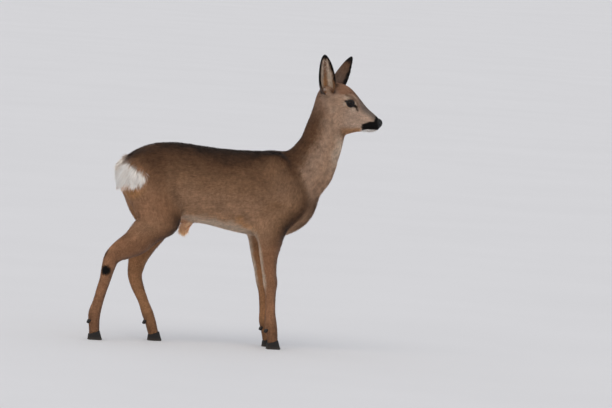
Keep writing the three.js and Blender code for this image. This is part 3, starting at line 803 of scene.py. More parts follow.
# Each row lays a colour over those before it: the colour, its amount, the measure that it is
# a share of, and ramps, each a measure with where it starts and where it is full.
COAT_LAYERS = (
    (Fur.FAWN, 0.88, "all", ("over", 0.25, -0.35)),
    (Fur.UMBER, 0.9, "all", ("over", 0.05, 0.65)),
    (Fur.BACK, 1, "behind_head", ("over", 0.45, 0.92)),
    (Fur.OCHRE, 0.4, "trunk", ("over", -0.45, -0.75)),
    (Fur.CREAM, 0.8, "trunk", ("over", -0.55, -0.85)),
    (Fur.ASH, 0.6, "neck", ("over", 0.55, -0.1)),
    (Fur.UMBER, 0.6, "neck", ("parting", 0.06, 0.01), ("z", 730, 640)),
    (Fur.CREAM, 0.5, "neck", ("parting", 0.05, 0.01), ("z", 745, 760), ("z", 800, 780),
     ("level", 0.45, 0.2)),
    (Fur.FAWN, 0.6, "neck", ("over", 0.2, -0.45)),
    # pale front of the neck down to the chest: partly the throat's own pale hair, partly a painted
    # highlight where light catches its front edge
    (Fur.CREAM, 0.85, "neck", ("z", 560, 680), ("z", 800, 750), ("over", -0.2, -0.7)),
    (Fur.UMBER, 0.55, "off_neck", ("saddle", 1.2, 0.4)),
    (Fur.RUFOUS, 0.6, "haunch", ("over", 0.6, 0.1)),
    (Fur.RUFOUS, 0.9, "legs", ("z", 430, 300)),
    (Fur.SLATE, 0.35, "legs", ("over", 0.2, 0.8)),
    # painted shade along the fold where the thigh meets the flank
    (Fur.UMBER, 0.35, "all", ("flank_fold_shade", 18, 3)),
    (Fur.OCHRE, 0.35, "legs_and_haunch", ("inside", 0.1, 0.7)),
    (Fur.CREAM, 0.8, "foreleg", ("over", -0.55, -0.85), ("z", 170, 230)),
    # warm patch behind the elbow: partly the hair's own warm tone, partly a painted highlight
    (Fur.OCHRE, 0.6, "all", ("elbow", 16, 5), ("out", 45, 60)),
    (Fur.UMBER, 0.45, "legs", ("z", 120, 50)),
    (Fur.OCHRE, 0.8, "all", ("fringe", 1.2, 0.9), ("behind", 0.0, 0.5)),
    (Fur.WHITE, 1, "patch"),
    (Fur.CREAM, 0.2, "patch", ("ragged_out", 15, 8)),
    # the brush, in its colour brightened as painted light
    (Fur.RUST, 1, "tuft"),
    (Fur.BLACK, 1, "all", ("right_gland", 19, 13), ("right", 52, 60)),
    (Fur.BLACK, 1, "all", ("left_gland", 19, 13), ("right", -52, -60)),
    # painted shade in the hollow behind the hock, on the right side only
    (Fur.BACK, 0.7, "right_side", ("hock_hollow_shade", 8, 3)),
    (Fur.ASH, 0.85, "head"),
    (Fur.FAWN, 0.5, "head", ("ahead", 75, 20), ("over", 0.5, 0.0)),
    (Fur.CROWN, 0.9, "head", ("over", 0.15, 0.65), ("ahead", 116, 66)),
    (Fur.SLATE, 0.95, "head", ("over", 0.2, 0.75), ("ahead", 66, 112)),
    (Fur.BACK, 0.8, "head", ("between_ears", 1.1, 0.5)),
    (Fur.WHITE, 0.9, "all", ("behind_ear", 11, 5)),
    (Fur.OCHRE, 0.85, "head", ("over", -0.25, -0.7), ("ahead", 118, 96)),
    (Fur.CREAM, 0.45, "head", ("gap", 14, 7), ("gap", 2, 5), ("radius", 34, 22)),
    (Fur.UMBER, 0.75, "head", ("brow", 7, 2)),
    (Fur.WHITE, 0.9, "head", ("up", -76, -80), ("ahead", 100, 112)),
    (Fur.BLACK, 1, "above_chin", ("lip_band", 12.5, 9.5), ("ahead", 103, 110)),
    (Fur.BLACK, 0.8, "head", ("mouth", 3.5, 1.5)),
    (Fur.BLACK, 1, "round_nose"),
    (Fur.BLACK, 1, "head", ("tear", 4.5, 2.0), ("over", 0.8, 0.5)),
    (Fur.BLACK, 1, "head", ("lids", 4.6, 3.2), ("radius", 26, 22)),
)
EAR_LAYERS = (
    (Fur.SLATE, 0.55, "outer", ("along", 1.0, 0.0)),
    (Fur.CROWN, 0.8, "inner"),
    (Fur.OCHRE, 0.6, "inner", ("along", 0.5, 0.1)),
    (Fur.CREAM, 0.95, "inner", ("off_band", 0.26, 0.10), ("along", 0.88, 0.68)),
    (Fur.BLACK, 1, "all", ("ragged_rim", 0.62, 0.80), ("along", 0.10, 0.30)),
    (Fur.BLACK, 1, "all", ("ragged_tip", 0.72, 0.84)),
)


def painted(base: Fur, layers: tuple, measures: dict[str, Array]) -> Array:
    """Lays colours over one another.

    Args:
        base: the first colour.
        layers: rows like those of COAT_LAYERS.
        measures: the values that they name, at every point.

    Returns:
        A row of linear red, green and blue for each point.
    """
    colour = np.array(linear(base.value))
    for fur, amount, part, *ramps in layers:
        share = amount * measures[part]
        for name, start, full in ramps:
            share = share * ramp(measures[name], start, full)
        share = np.clip(share, 0, 1)[:, None]
        colour = colour * (1 - share) + np.array(linear(fur.value)) * share
    return colour


class Markings:
    """Where each colour of the coat lies; skin and hair are both painted from here."""

    nose = (168, 0, -57)  # middle of the bare pad, from the head's pivot
    nose_reach = np.array([22, 24, 19])

    def __init__(self, body: Body) -> None:
        """Keeps the body and draws the noises that break up the edges."""
        self.body = body
        self.broad, self.fine = Mottle(1), Mottle(2)

    @staticmethod
    def rump_patch(points: Array) -> Array:
        """How much each point belongs to the white patch, a lobe on either side of the tail."""
        x, y, z = points.T
        lobe = np.abs(np.abs(y) - 38) / 52
        away = ((x + 340) / 74) ** 2 + lobe ** 2 + ((z - 543 + 6 * lobe) / (35 - 6 * lobe)) ** 2
        return ramp(away, 1.25, 0.8)

    def nose_pad(self, points: Array, spread: float = 1.0) -> Array:
        """How much a point belongs to the bare nose, or to the black hair that spreads round it."""
        away = (head_local(points) - np.array(self.nose)) / (self.nose_reach * spread)
        return ramp((away ** 2).sum(axis=1), 1.15, 0.85)

    def paint(self, points: Array, normals: Array, upper: Array, weights: Array) -> Array:
        """The coat's linear colour at places on the skin.

        Args:
            points: places on the skin in millimetres.
            normals: the skin's directions there.
            upper: the way to the animal's upper side, or a limb's front.
            weights: each chain's say, from the body.

        Returns:
            A row of red, green and blue for each point.
        """
        broad = self.broad.at(points, 34) - 0.5
        fine = self.fine.at(points, (16, 16, 9)) - 0.5
        over = np.einsum("ij,ij->i", normals, upper) + 0.20 * broad + 0.12 * fine
        share = {chain.name.split("_")[0]: np.zeros(len(points)) for chain in self.body.chains}
        for chain, say in zip(self.body.chains, weights):
            share[chain.name.split("_")[0]] += say
        measures = {
            **share, "all": np.ones(len(points)), "over": over, "level": np.abs(over + 0.1),
            "saddle": np.hypot((points[:, 0] + 262) / 58, (points[:, 2] - 585) / 80) + 0.5 * broad,
            # where the warm patch behind the elbow lies, partly a painted highlight
            "elbow": side_distance(points, (26, 414), (38, 402), (60, 392)) + 8 * fine,
            **self.on_body(points, normals, share), **self.on_head(points, share)}
        shade = (1 + 0.22 * broad + 0.30 * fine)[:, None]
        return painted(Fur.GREY_BROWN, COAT_LAYERS, measures) * shade

    def on_body(self, points: Array, normals: Array, share: dict[str, Array]) -> dict[str, Array]:
        """Measures on trunk, neck, legs and rump.

        Args:
            points: places in millimetres.
            normals: the skin's directions there.
            share: how much each is on a part of the body.

        Returns:
            A value of each for every point.
        """
        x, y, z = points.T
        behind, legs = -normals[:, 0], share["foreleg"] + share["hindleg"]
        tuft = blob_distance(points, (-142, 0, 378), (30, 26, 26))
        ragged = points + 16 * (self.fine.at(points, 9) - 0.5)[:, None]
        ahead, out, up = ragged[:, 0], np.abs(ragged[:, 1]), ragged[:, 2]
        strip = ramp(out, 17, 9) * ramp(behind, 0.0, 0.4) * ramp(up, 592, 575) * ramp(up, 490, 505)
        tail = share["rump"] * ramp(up, 592, 578)
        return {
            "z": z, "out": np.abs(y), "right": -y, "right_side": y < 0, "behind": behind,
            "inside": -normals[:, 1] * np.sign(y), "off_neck": 1 - share["neck"],
            "behind_head": 1 - np.clip(share["head"] + 0.85 * share["neck"], 0, 1),
            "parting": np.abs(self.fine.at(points, (60, 60, 15)) - 0.5),  # across the neck
            "tuft": np.maximum(share["brush"], ramp(tuft, 1.1, 0.8)),
            "legs": legs, "legs_and_haunch": legs + share["haunch"],
            # painted shade lies along this line: the fold between thigh and flank
            "flank_fold_shade": side_distance(points, (-190, 600), (-196, 540), (-186, 480), (-162, 430)),
            # painted shade lies along this line: the hollow behind the hock
            "hock_hollow_shade": side_distance(points, (-404, 296), (-420, 270)),
            "right_gland": np.hypot(x + 410, z - 229), "left_gland": np.hypot(x + 300, z - 210),
            "fringe": ((ahead + 345) / 70) ** 2 + ((out - 36) / 60) ** 2 + ((up - 520) / 46) ** 2,
            "ragged_out": out, "patch": np.max([self.rump_patch(ragged), tail, strip], axis=0),
        }

    def on_head(self, points: Array, share: dict[str, Array]) -> dict[str, Array]:
        """Measures on the head.

        Args:
            points: places in millimetres.
            share: how much each is on a part of the body.

        Returns:
            A value of each for every point.
        """
        folded = head_folded(points)
        ahead, _, up = folded.T
        gap, radius = self.body.socket.opening(folded)
        chin = ramp(up, -76, -80) * ramp(ahead, 100, 112)
        return {
            "ahead": ahead, "up": up, "gap": gap, "radius": radius,
            "lids": self.body.socket.bare(gap, radius),
            "mouth": self.body.mouth.away(folded), "tear": self.body.tear.away(folded),
            "between_ears": blob_distance(folded, (14, 20, 54), (14, 18, 14)),
            "behind_ear": blob_distance(folded, (-22, 40, 30), (1, 1, 1)),
            "brow": side_distance(folded, (50, 24), (66, 19), (80, 6), (86, -10)),
            "lip_band": side_distance(folded, (156, -52), (150, -64), (134, -65), (116, -73)),
            "above_chin": share["head"] * (1 - chin),
            "round_nose": share["head"] * self.nose_pad(points, spread=1.3),
        }

    def ear(self, along: Array, inner: Array, rim: Array, points: Array) -> Array:
        """The ear's colours: dark outside, black at tip and rim, pale and ochre hair within.

        Args:
            along: place along the ear, from its base.
            inner: 1 inside the cup, 0 outside.
            rim: how near the rim, 1 on it.
            points: places in millimetres.

        Returns:
            A row of red, green and blue for each point.
        """
        fine = self.fine.at(points, 7) - 0.5
        measures = {
            "all": np.ones(len(points)), "inner": inner, "outer": 1 - inner, "along": along,
            "off_band": np.abs(rim - 0.42), "ragged_rim": rim + 0.25 * fine,
            "ragged_tip": along + 0.10 * fine,
        }
        return painted(Fur.UMBER, EAR_LAYERS, measures) * (1 + 0.4 * fine)[:, None]


# ---------------------------------------------------------------- materials
def add_node(tree: NodeTree, kind: str, inputs: dict | None = None,
             **settings: str | bool) -> Node:
    """Adds a node.

    Args:
        tree: the tree it goes into.
        kind: Blender's name for the node.
        inputs: socket names or numbers, each with a value, the socket it is linked from,
            or the node whose first output it is linked from.
        settings: the node's own properties.

    Returns:
        The node.
    """
    node = tree.nodes.new(kind)
    for name, value in settings.items():
        setattr(node, name, value)
    for name, value in (inputs or {}).items():
        if isinstance(value, Node):
            value = value.outputs[0]
        if isinstance(value, NodeSocket):
            tree.links.new(value, node.inputs[name])
        else:
            node.inputs[name].default_value = value
    return node


class Finish:
    """A material that ends in one Principled shader."""

    name: str

    def dress(self, tree: NodeTree) -> dict:
        """The shader's inputs, with the patterns that feed them."""
        raise NotImplementedError

    def build(self) -> Material:
        """Makes the material.

        Returns:
            The material, with its own node tree.
        """
        material = bpy.data.materials.new(self.name)
        material.use_nodes = True
        tree = material.node_tree
        tree.nodes.clear()
        shader = add_node(tree, "ShaderNodeBsdfPrincipled", self.dress(tree))
        add_node(tree, "ShaderNodeOutputMaterial", {"Surface": shader})
        return material


@dataclass(frozen=True)
class Hair(Finish):
    """Dry winter guard hair: matt, with a faint rim of light from its fine tips."""

    name: str
    roughness: float = 0.72
    sheen: float = 0.06
    banding: float = 9.0  # mm between lighter and darker hair, coarser than real so that it shows
    contrast: float = 0.22
    bump: float = 0.0  # mm of relief, for the underfur on the skin

    def dress(self, tree: NodeTree) -> dict:
        """The markings painted on the piece, broken into lighter and darker hair."""
        place = add_node(tree, "ShaderNodeTexCoord").outputs["Object"]
        painted = add_node(tree, "ShaderNodeAttribute", attribute_name="fur").outputs["Color"]
        grain = add_node(tree, "ShaderNodeTexNoise", {
            "Vector": place, "Scale": 1 / (self.banding * MM), "Detail": 3.0, "Roughness": 0.6})
        shade = add_node(tree, "ShaderNodeMapRange", {
            "Value": grain, "From Min": 0.3, "From Max": 0.7,
            "To Min": 1 - self.contrast, "To Max": 1 + self.contrast})
        colour = add_node(tree, "ShaderNodeVectorMath", {0: painted, "Scale": shade},
                          operation="SCALE")
        inputs = {"Base Color": colour, "Roughness": self.roughness, "Specular IOR Level": 0.12,
                  "Sheen Weight": self.sheen, "Sheen Roughness": 0.5}
        if self.bump:
            inputs["Normal"] = add_node(tree, "ShaderNodeBump", {
                "Height": grain, "Strength": 0.6, "Distance": self.bump * MM})
        return inputs


@dataclass(frozen=True)
class NoseLeather(Finish):
    """Bare wet nose skin: black, finely pebbled, with a moist gloss."""

    name: str = "wet_nose_leather"
    colour: str = "#0d0c0d"
    pebble: float = 1.6  # mm across

    def dress(self, tree: NodeTree) -> dict:
        """Pebbles with a wetter gloss between them."""
        place = add_node(tree, "ShaderNodeTexCoord").outputs["Object"]
        cells = add_node(tree, "ShaderNodeTexVoronoi", {
            "Vector": place, "Scale": 1 / (self.pebble * MM)}).outputs["Distance"]
        relief = add_node(tree, "ShaderNodeBump", {
            "Height": cells, "Strength": 0.5, "Distance": 0.4 * MM}, invert=True)
        wet = add_node(tree, "ShaderNodeMapRange", {"Value": cells, "To Min": 0.42, "To Max": 0.28})
        return {"Base Color": (*linear(self.colour), 1), "Roughness": wet,
                "Specular IOR Level": 0.3, "Normal": relief}


@dataclass(frozen=True)
class LidSkin(Finish):
    """Bare lid and lip skin: near black, soft and slightly moist."""

    name: str = "bare_lid_skin"
    colour: str = "#100d0c"
    fold: float = 0.9  # mm across

    def dress(self, tree: NodeTree) -> dict:
        """Fine folds."""
        place = add_node(tree, "ShaderNodeTexCoord").outputs["Object"]
        folds = add_node(tree, "ShaderNodeTexNoise", {
            "Vector": place, "Scale": 1 / (self.fold * MM), "Detail": 2.0})
        relief = add_node(tree, "ShaderNodeBump", {
            "Height": folds, "Strength": 0.4, "Distance": 0.2 * MM})
        return {"Base Color": (*linear(self.colour), 1), "Roughness": 0.38,
                "Specular IOR Level": 0.3, "Normal": relief}


@dataclass(frozen=True)
class HoofHorn(Finish):
    """Worn keratin: black-brown horn with growth rings, scuffed paler near the floor."""

    name: str = "hoof_keratin"
    horn: str = "#1c1714"
    worn: str = "#4a4038"
    ring: float = 3.2  # mm between growth rings
    scuff: float = 4.0  # mm across
    scuffed: float = 12.0  # mm above the floor

    def dress(self, tree: NodeTree) -> dict:
        """Rings across the horn, and wear that rises from the floor."""
        place = add_node(tree, "ShaderNodeTexCoord").outputs["Object"]
        height = add_node(tree, "ShaderNodeSeparateXYZ", {0: place}).outputs["Z"]
        rings = add_node(tree, "ShaderNodeTexWave", {
            "Vector": place, "Scale": 1 / (self.ring * MM * 2 * math.pi), "Distortion": 1.4,
            "Detail": 2.0}, bands_direction="Z")
        scuffs = add_node(tree, "ShaderNodeTexNoise", {
            "Vector": place, "Scale": 1 / (self.scuff * MM), "Detail": 4.0})
        low = add_node(tree, "ShaderNodeMapRange", {
            "Value": height, "From Min": self.scuffed * MM, "From Max": 1 * MM,
            "To Min": 0.0, "To Max": 0.9})
        wear = add_node(tree, "ShaderNodeMath", {0: low, 1: scuffs}, operation="MULTIPLY")
        colour = add_node(tree, "ShaderNodeMix", {
            "Factor": wear, 6: (*linear(self.horn), 1), 7: (*linear(self.worn), 1)},
            data_type="RGBA")
        gloss = add_node(tree, "ShaderNodeMapRange", {
            "Value": scuffs, "To Min": 0.36, "To Max": 0.56})
        relief = add_node(tree, "ShaderNodeBump", {
            "Height": rings.outputs["Fac"], "Strength": 0.5, "Distance": 0.3 * MM})
        return {"Base Color": colour.outputs[2], "Roughness": gloss,
                "Specular IOR Level": 0.35, "Normal": relief}


@dataclass(frozen=True)
class EyeGlass(Finish):
    """A deer's eye: a dark brown iris and a wide black pupil under a wet clear surface."""

    name: str = "wet_eye"
    iris: str = "#2a170c"
    rim: str = "#070505"
    squeeze: float = 1.7  # how much lower than wide the pupil is

    def dress(self, tree: NodeTree) -> dict:
        """Iris, pupil and rim; "gaze" holds each point's place across, up and out of the eye."""
        gaze = add_node(tree, "ShaderNodeAttribute", attribute_name="gaze").outputs["Vector"]
        masks = []
        for squeeze, start, full in ((self.squeeze, 0.46, 0.56), (1.0, 0.86, 0.72)):
            flat = add_node(tree, "ShaderNodeMapping", {
                "Vector": gaze, "Scale": (1.0, squeeze, 0.0)})
            away = add_node(tree, "ShaderNodeVectorMath", {0: flat}, operation="LENGTH")
            masks.append(add_node(tree, "ShaderNodeMapRange", {
                "Value": away.outputs["Value"], "From Min": start, "From Max": full}))
        fibres = add_node(tree, "ShaderNodeTexNoise", {"Vector": gaze, "Scale": 9.0, "Detail": 3.0})
        ring = add_node(tree, "ShaderNodeMath", {0: masks[0], 1: masks[1]}, operation="MULTIPLY")
        streaked = add_node(tree, "ShaderNodeMath", {0: ring, 1: fibres}, operation="MULTIPLY")
        colour = add_node(tree, "ShaderNodeMix", {
            "Factor": streaked, 6: (*linear(self.rim), 1), 7: (*linear(self.iris), 1)},
            data_type="RGBA")
        return {"Base Color": colour.outputs[2], "Roughness": 0.05, "IOR": 1.34,
                "Specular IOR Level": 0.35}


@dataclass(frozen=True)
class PaleFloor(Finish):
    """A painted museum floor: pale, even and matt."""

    name: str = "pale_painted_floor"
    colour: str = "#dcdde0"

    def dress(self, tree: NodeTree) -> dict:
        """Paint that is barely cloudy."""
        place = add_node(tree, "ShaderNodeTexCoord").outputs["Object"]
        cloudy = add_node(tree, "ShaderNodeTexNoise", {
            "Vector": place, "Scale": 1.2, "Detail": 2.0})
        shade = add_node(tree, "ShaderNodeMapRange", {
            "Value": cloudy, "To Min": 0.97, "To Max": 1.03})
        colour = add_node(tree, "ShaderNodeVectorMath", {0: linear(self.colour), "Scale": shade},
                          operation="SCALE")
        return {"Base Color": colour, "Roughness": 0.85, "Specular IOR Level": 0.2}


# ------------------------------------------------------------------- meshes
def new_object(name: str, data: ID) -> Object:
    """Puts a mesh, lamp or camera in the scene as an object at the origin."""
    piece = bpy.data.objects.new(name, data)
    bpy.context.scene.collection.objects.link(piece)
    return piece


def add_piece(name: str, mesh: Mesh, slot: str, *nodes: str) -> None:
    """Adds a piece of the animal.

    Args:
        name: the piece.
        mesh: its mesh, with its materials.
        slot: what it is made of; not used.
        nodes: the CAD nodes that it replaces.
    """
    piece = new_object(name, mesh)
    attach(piece, "root")
    if nodes:
        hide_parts(*nodes)
    LOG.info("%s: %d faces", name, len(mesh.polygons))


def triangle_mesh(name: str, points: Array, triangles: Array) -> Mesh:
    """A smooth mesh of triangles.

    Args:
        name: the mesh's name.
        points: places in millimetres.
        triangles: three numbers of points in each row.

    Returns:
        The mesh, in metres.
    """
    mesh = bpy.data.meshes.new(name)
    mesh.vertices.add(len(points))
    mesh.vertices.foreach_set("co", (points * MM).astype(np.float32).ravel())
    mesh.loops.add(3 * len(triangles))
    mesh.loops.foreach_set("vertex_index", triangles.astype(np.int32).ravel())
    mesh.polygons.add(len(triangles))
    mesh.polygons.foreach_set("loop_start", np.arange(0, 3 * len(triangles), 3, dtype=np.int32))
    mesh.update(calc_edges=True)
    smooth(mesh)
    return mesh


def smooth(mesh: Mesh) -> None:
    """Shades every face smooth."""
    mesh.polygons.foreach_set("use_smooth", np.ones(len(mesh.polygons), dtype=bool))


def keep_rows(mesh: Mesh, name: str, rows: Array) -> None:
    """Stores a vector, or a number, for each point of a mesh."""
    kind, key = ("FLOAT_VECTOR", "vector") if rows.ndim > 1 else ("FLOAT", "value")
    layer = mesh.attributes.new(name, kind, "POINT")
    layer.data.foreach_set(key, rows.astype(np.float32).ravel())


def paint_points(mesh: Mesh, colours: Array) -> None:
    """Stores a linear colour for each point of a mesh, for the hair's finish."""
    layer = mesh.color_attributes.new("fur", "FLOAT_COLOR", "POINT")
    rows = np.ones((len(colours), 4), dtype=np.float32)
    rows[:, :3] = np.clip(colours, 0, 1)
    layer.data.foreach_set("color", rows.ravel())


def point_normals(points: Array, triangles: Array) -> Array:
    """Smooth normals of a mesh.

    Args:
        points: its points.
        triangles: its triangles.

    Returns:
        A unit normal for each point.
    """
    faces = face_normals(points, triangles)
    normals = np.zeros_like(points)
    for k in range(3):
        for axis in range(3):
            normals[:, axis] += np.bincount(triangles[:, k], faces[:, axis], len(points))
    return unit(normals)


def face_normals(points: Array, triangles: Array) -> Array:
    """A normal for each triangle, twice as long as the triangle is large."""
    a, b, c = (points[triangles[:, k]] for k in range(3))
    return np.cross(b - a, c - a)


def grid_nodes(count: Iterable[int]) -> Array:
    """The numbers of a grid's nodes along three axes."""
    return np.stack(np.meshgrid(*[np.arange(n) for n in count], indexing="ij"), -1)


@dataclass
class Net:
    """Turns a field into a closed mesh: coarse cells first, then fine ones near the surface."""

    low: Array
    high: Array
    cell: float = 5.0
    coarse: int = 3  # fine cells in a coarse one

    def __post_init__(self) -> None:
        """Sets out both grids."""
        big = self.cell * self.coarse
        self.count = np.ceil((self.high - self.low) / big).astype(int)
        self.fine_count = self.count * self.coarse + 1

    def places(self, nodes: Array) -> Array:
        """Where nodes of the fine grid are."""
        return self.low + nodes * self.cell

    @staticmethod
    def corner(grid: Array, start: tuple[int, int, int]) -> Array:
        """The values at one corner of every cell of a grid."""
        return grid[tuple(slice(first, first + n - 1) for first, n in zip(start, grid.shape))]

    def sample(self, field_at: Callable[[Array], Array]) -> Array:
        """The field on the fine grid.

        Args:
            field_at: the field's values at places.

        Returns:
            Its values, exact near the surface and only right in sign elsewhere.
        """
        nodes = grid_nodes(self.count + 1)
        values = field_at(self.places(nodes.reshape(-1, 3) * self.coarse)).reshape(nodes.shape[:3])
        stack = [self.corner(values, start) for start in np.ndindex(2, 2, 2)]
        near = np.min(np.abs(stack), axis=0) < self.cell * self.coarse * 1.4
        near |= np.min(stack, axis=0) * np.max(stack, axis=0) < 0
        fine = [np.arange(n) for n in self.fine_count]
        owner = [np.minimum(n // self.coarse, top - 1) for n, top in zip(fine, self.count)]
        wanted = near[np.ix_(*owner)]
        for axis in range(3):  # both sides of a shared face are exact
            before = list(owner)
            before[axis] = np.maximum(fine[axis] - 1, 0) // self.coarse
            wanted |= near[np.ix_(*before)]
        sampled = values[np.ix_(*[n // self.coarse for n in fine])]
        chosen = np.argwhere(wanted)
        for part in np.array_split(chosen, max(1, len(chosen) // 200000)):
            sampled[tuple(part.T)] = field_at(self.places(part))
        return sampled

    def mesh(self, field_at: Callable[[Array], Array]) -> tuple[Array, Array]:
        """The surface where the field is zero.

        Args:
            field_at: the field's values at places.

        Returns:
            Its points and outward triangles.
        """
        values = self.sample(field_at)
        inside = values < 0
        total = sum(self.corner(inside, o).astype(np.int8) for o in np.ndindex(2, 2, 2))
        mixed = (total > 0) & (total < 8)
        cells = np.argwhere(mixed)
        number = np.full(mixed.shape, -1)
        number[mixed] = np.arange(len(cells))
        sums = np.zeros((len(cells), 3))
        hits = np.zeros(len(cells))
        for start in np.ndindex(2, 2, 2):
            for axis in range(3):
                if start[axis]:
                    continue
                end = tuple(s + (k == axis) for k, s in enumerate(start))
                a, b = self.corner(values, start)[mixed], self.corner(values, end)[mixed]
                cross = (a < 0) != (b < 0)
                t = np.where(cross, a / np.where(cross, a - b, 1), 0)
                spot = np.tile(np.array(start, float), (len(cells), 1))
                spot[:, axis] += t
                sums += spot * cross[:, None]
                hits += cross
        points = self.places(cells + sums / hits[:, None])
        quads = []
        for axis in range(3):
            u, v = (axis + 1) % 3, (axis + 2) % 3
            span = [slice(1, -1)] * 3
            span[axis] = slice(0, -1)
            first = inside[tuple(span)]
            span[axis] = slice(1, None)
            second = inside[tuple(span)]
            edge = np.argwhere(first != second)
            edge[:, u] += 1
            edge[:, v] += 1
            leaves = inside[tuple(edge.T)]
            ring = []
            for du, dv in ((1, 1), (0, 1), (0, 0), (1, 0)):
                owner = edge.copy()
                owner[:, u] -= du
                owner[:, v] -= dv
                ring.append(number[tuple(owner.T)])
            ring = np.stack(ring, axis=1)
            quads.append(np.where(leaves[:, None], ring, ring[:, ::-1]))
        quads = np.vstack(quads)
        return points, np.vstack([quads[:, [0, 1, 2]], quads[:, [0, 2, 3]]])


# --------------------------------------------------------------------- skin
@dataclass
class Pelt:
    """The skin's mesh with what hair growing on it needs to know at each point."""

    points: Array
    triangles: Array
    normals: Array
    flow: Array
    colour: Array
    hair: Array  # length
    depth: Array
    region: Array  # name of the coat piece
    chart: Array  # place on the unwrap of the skin


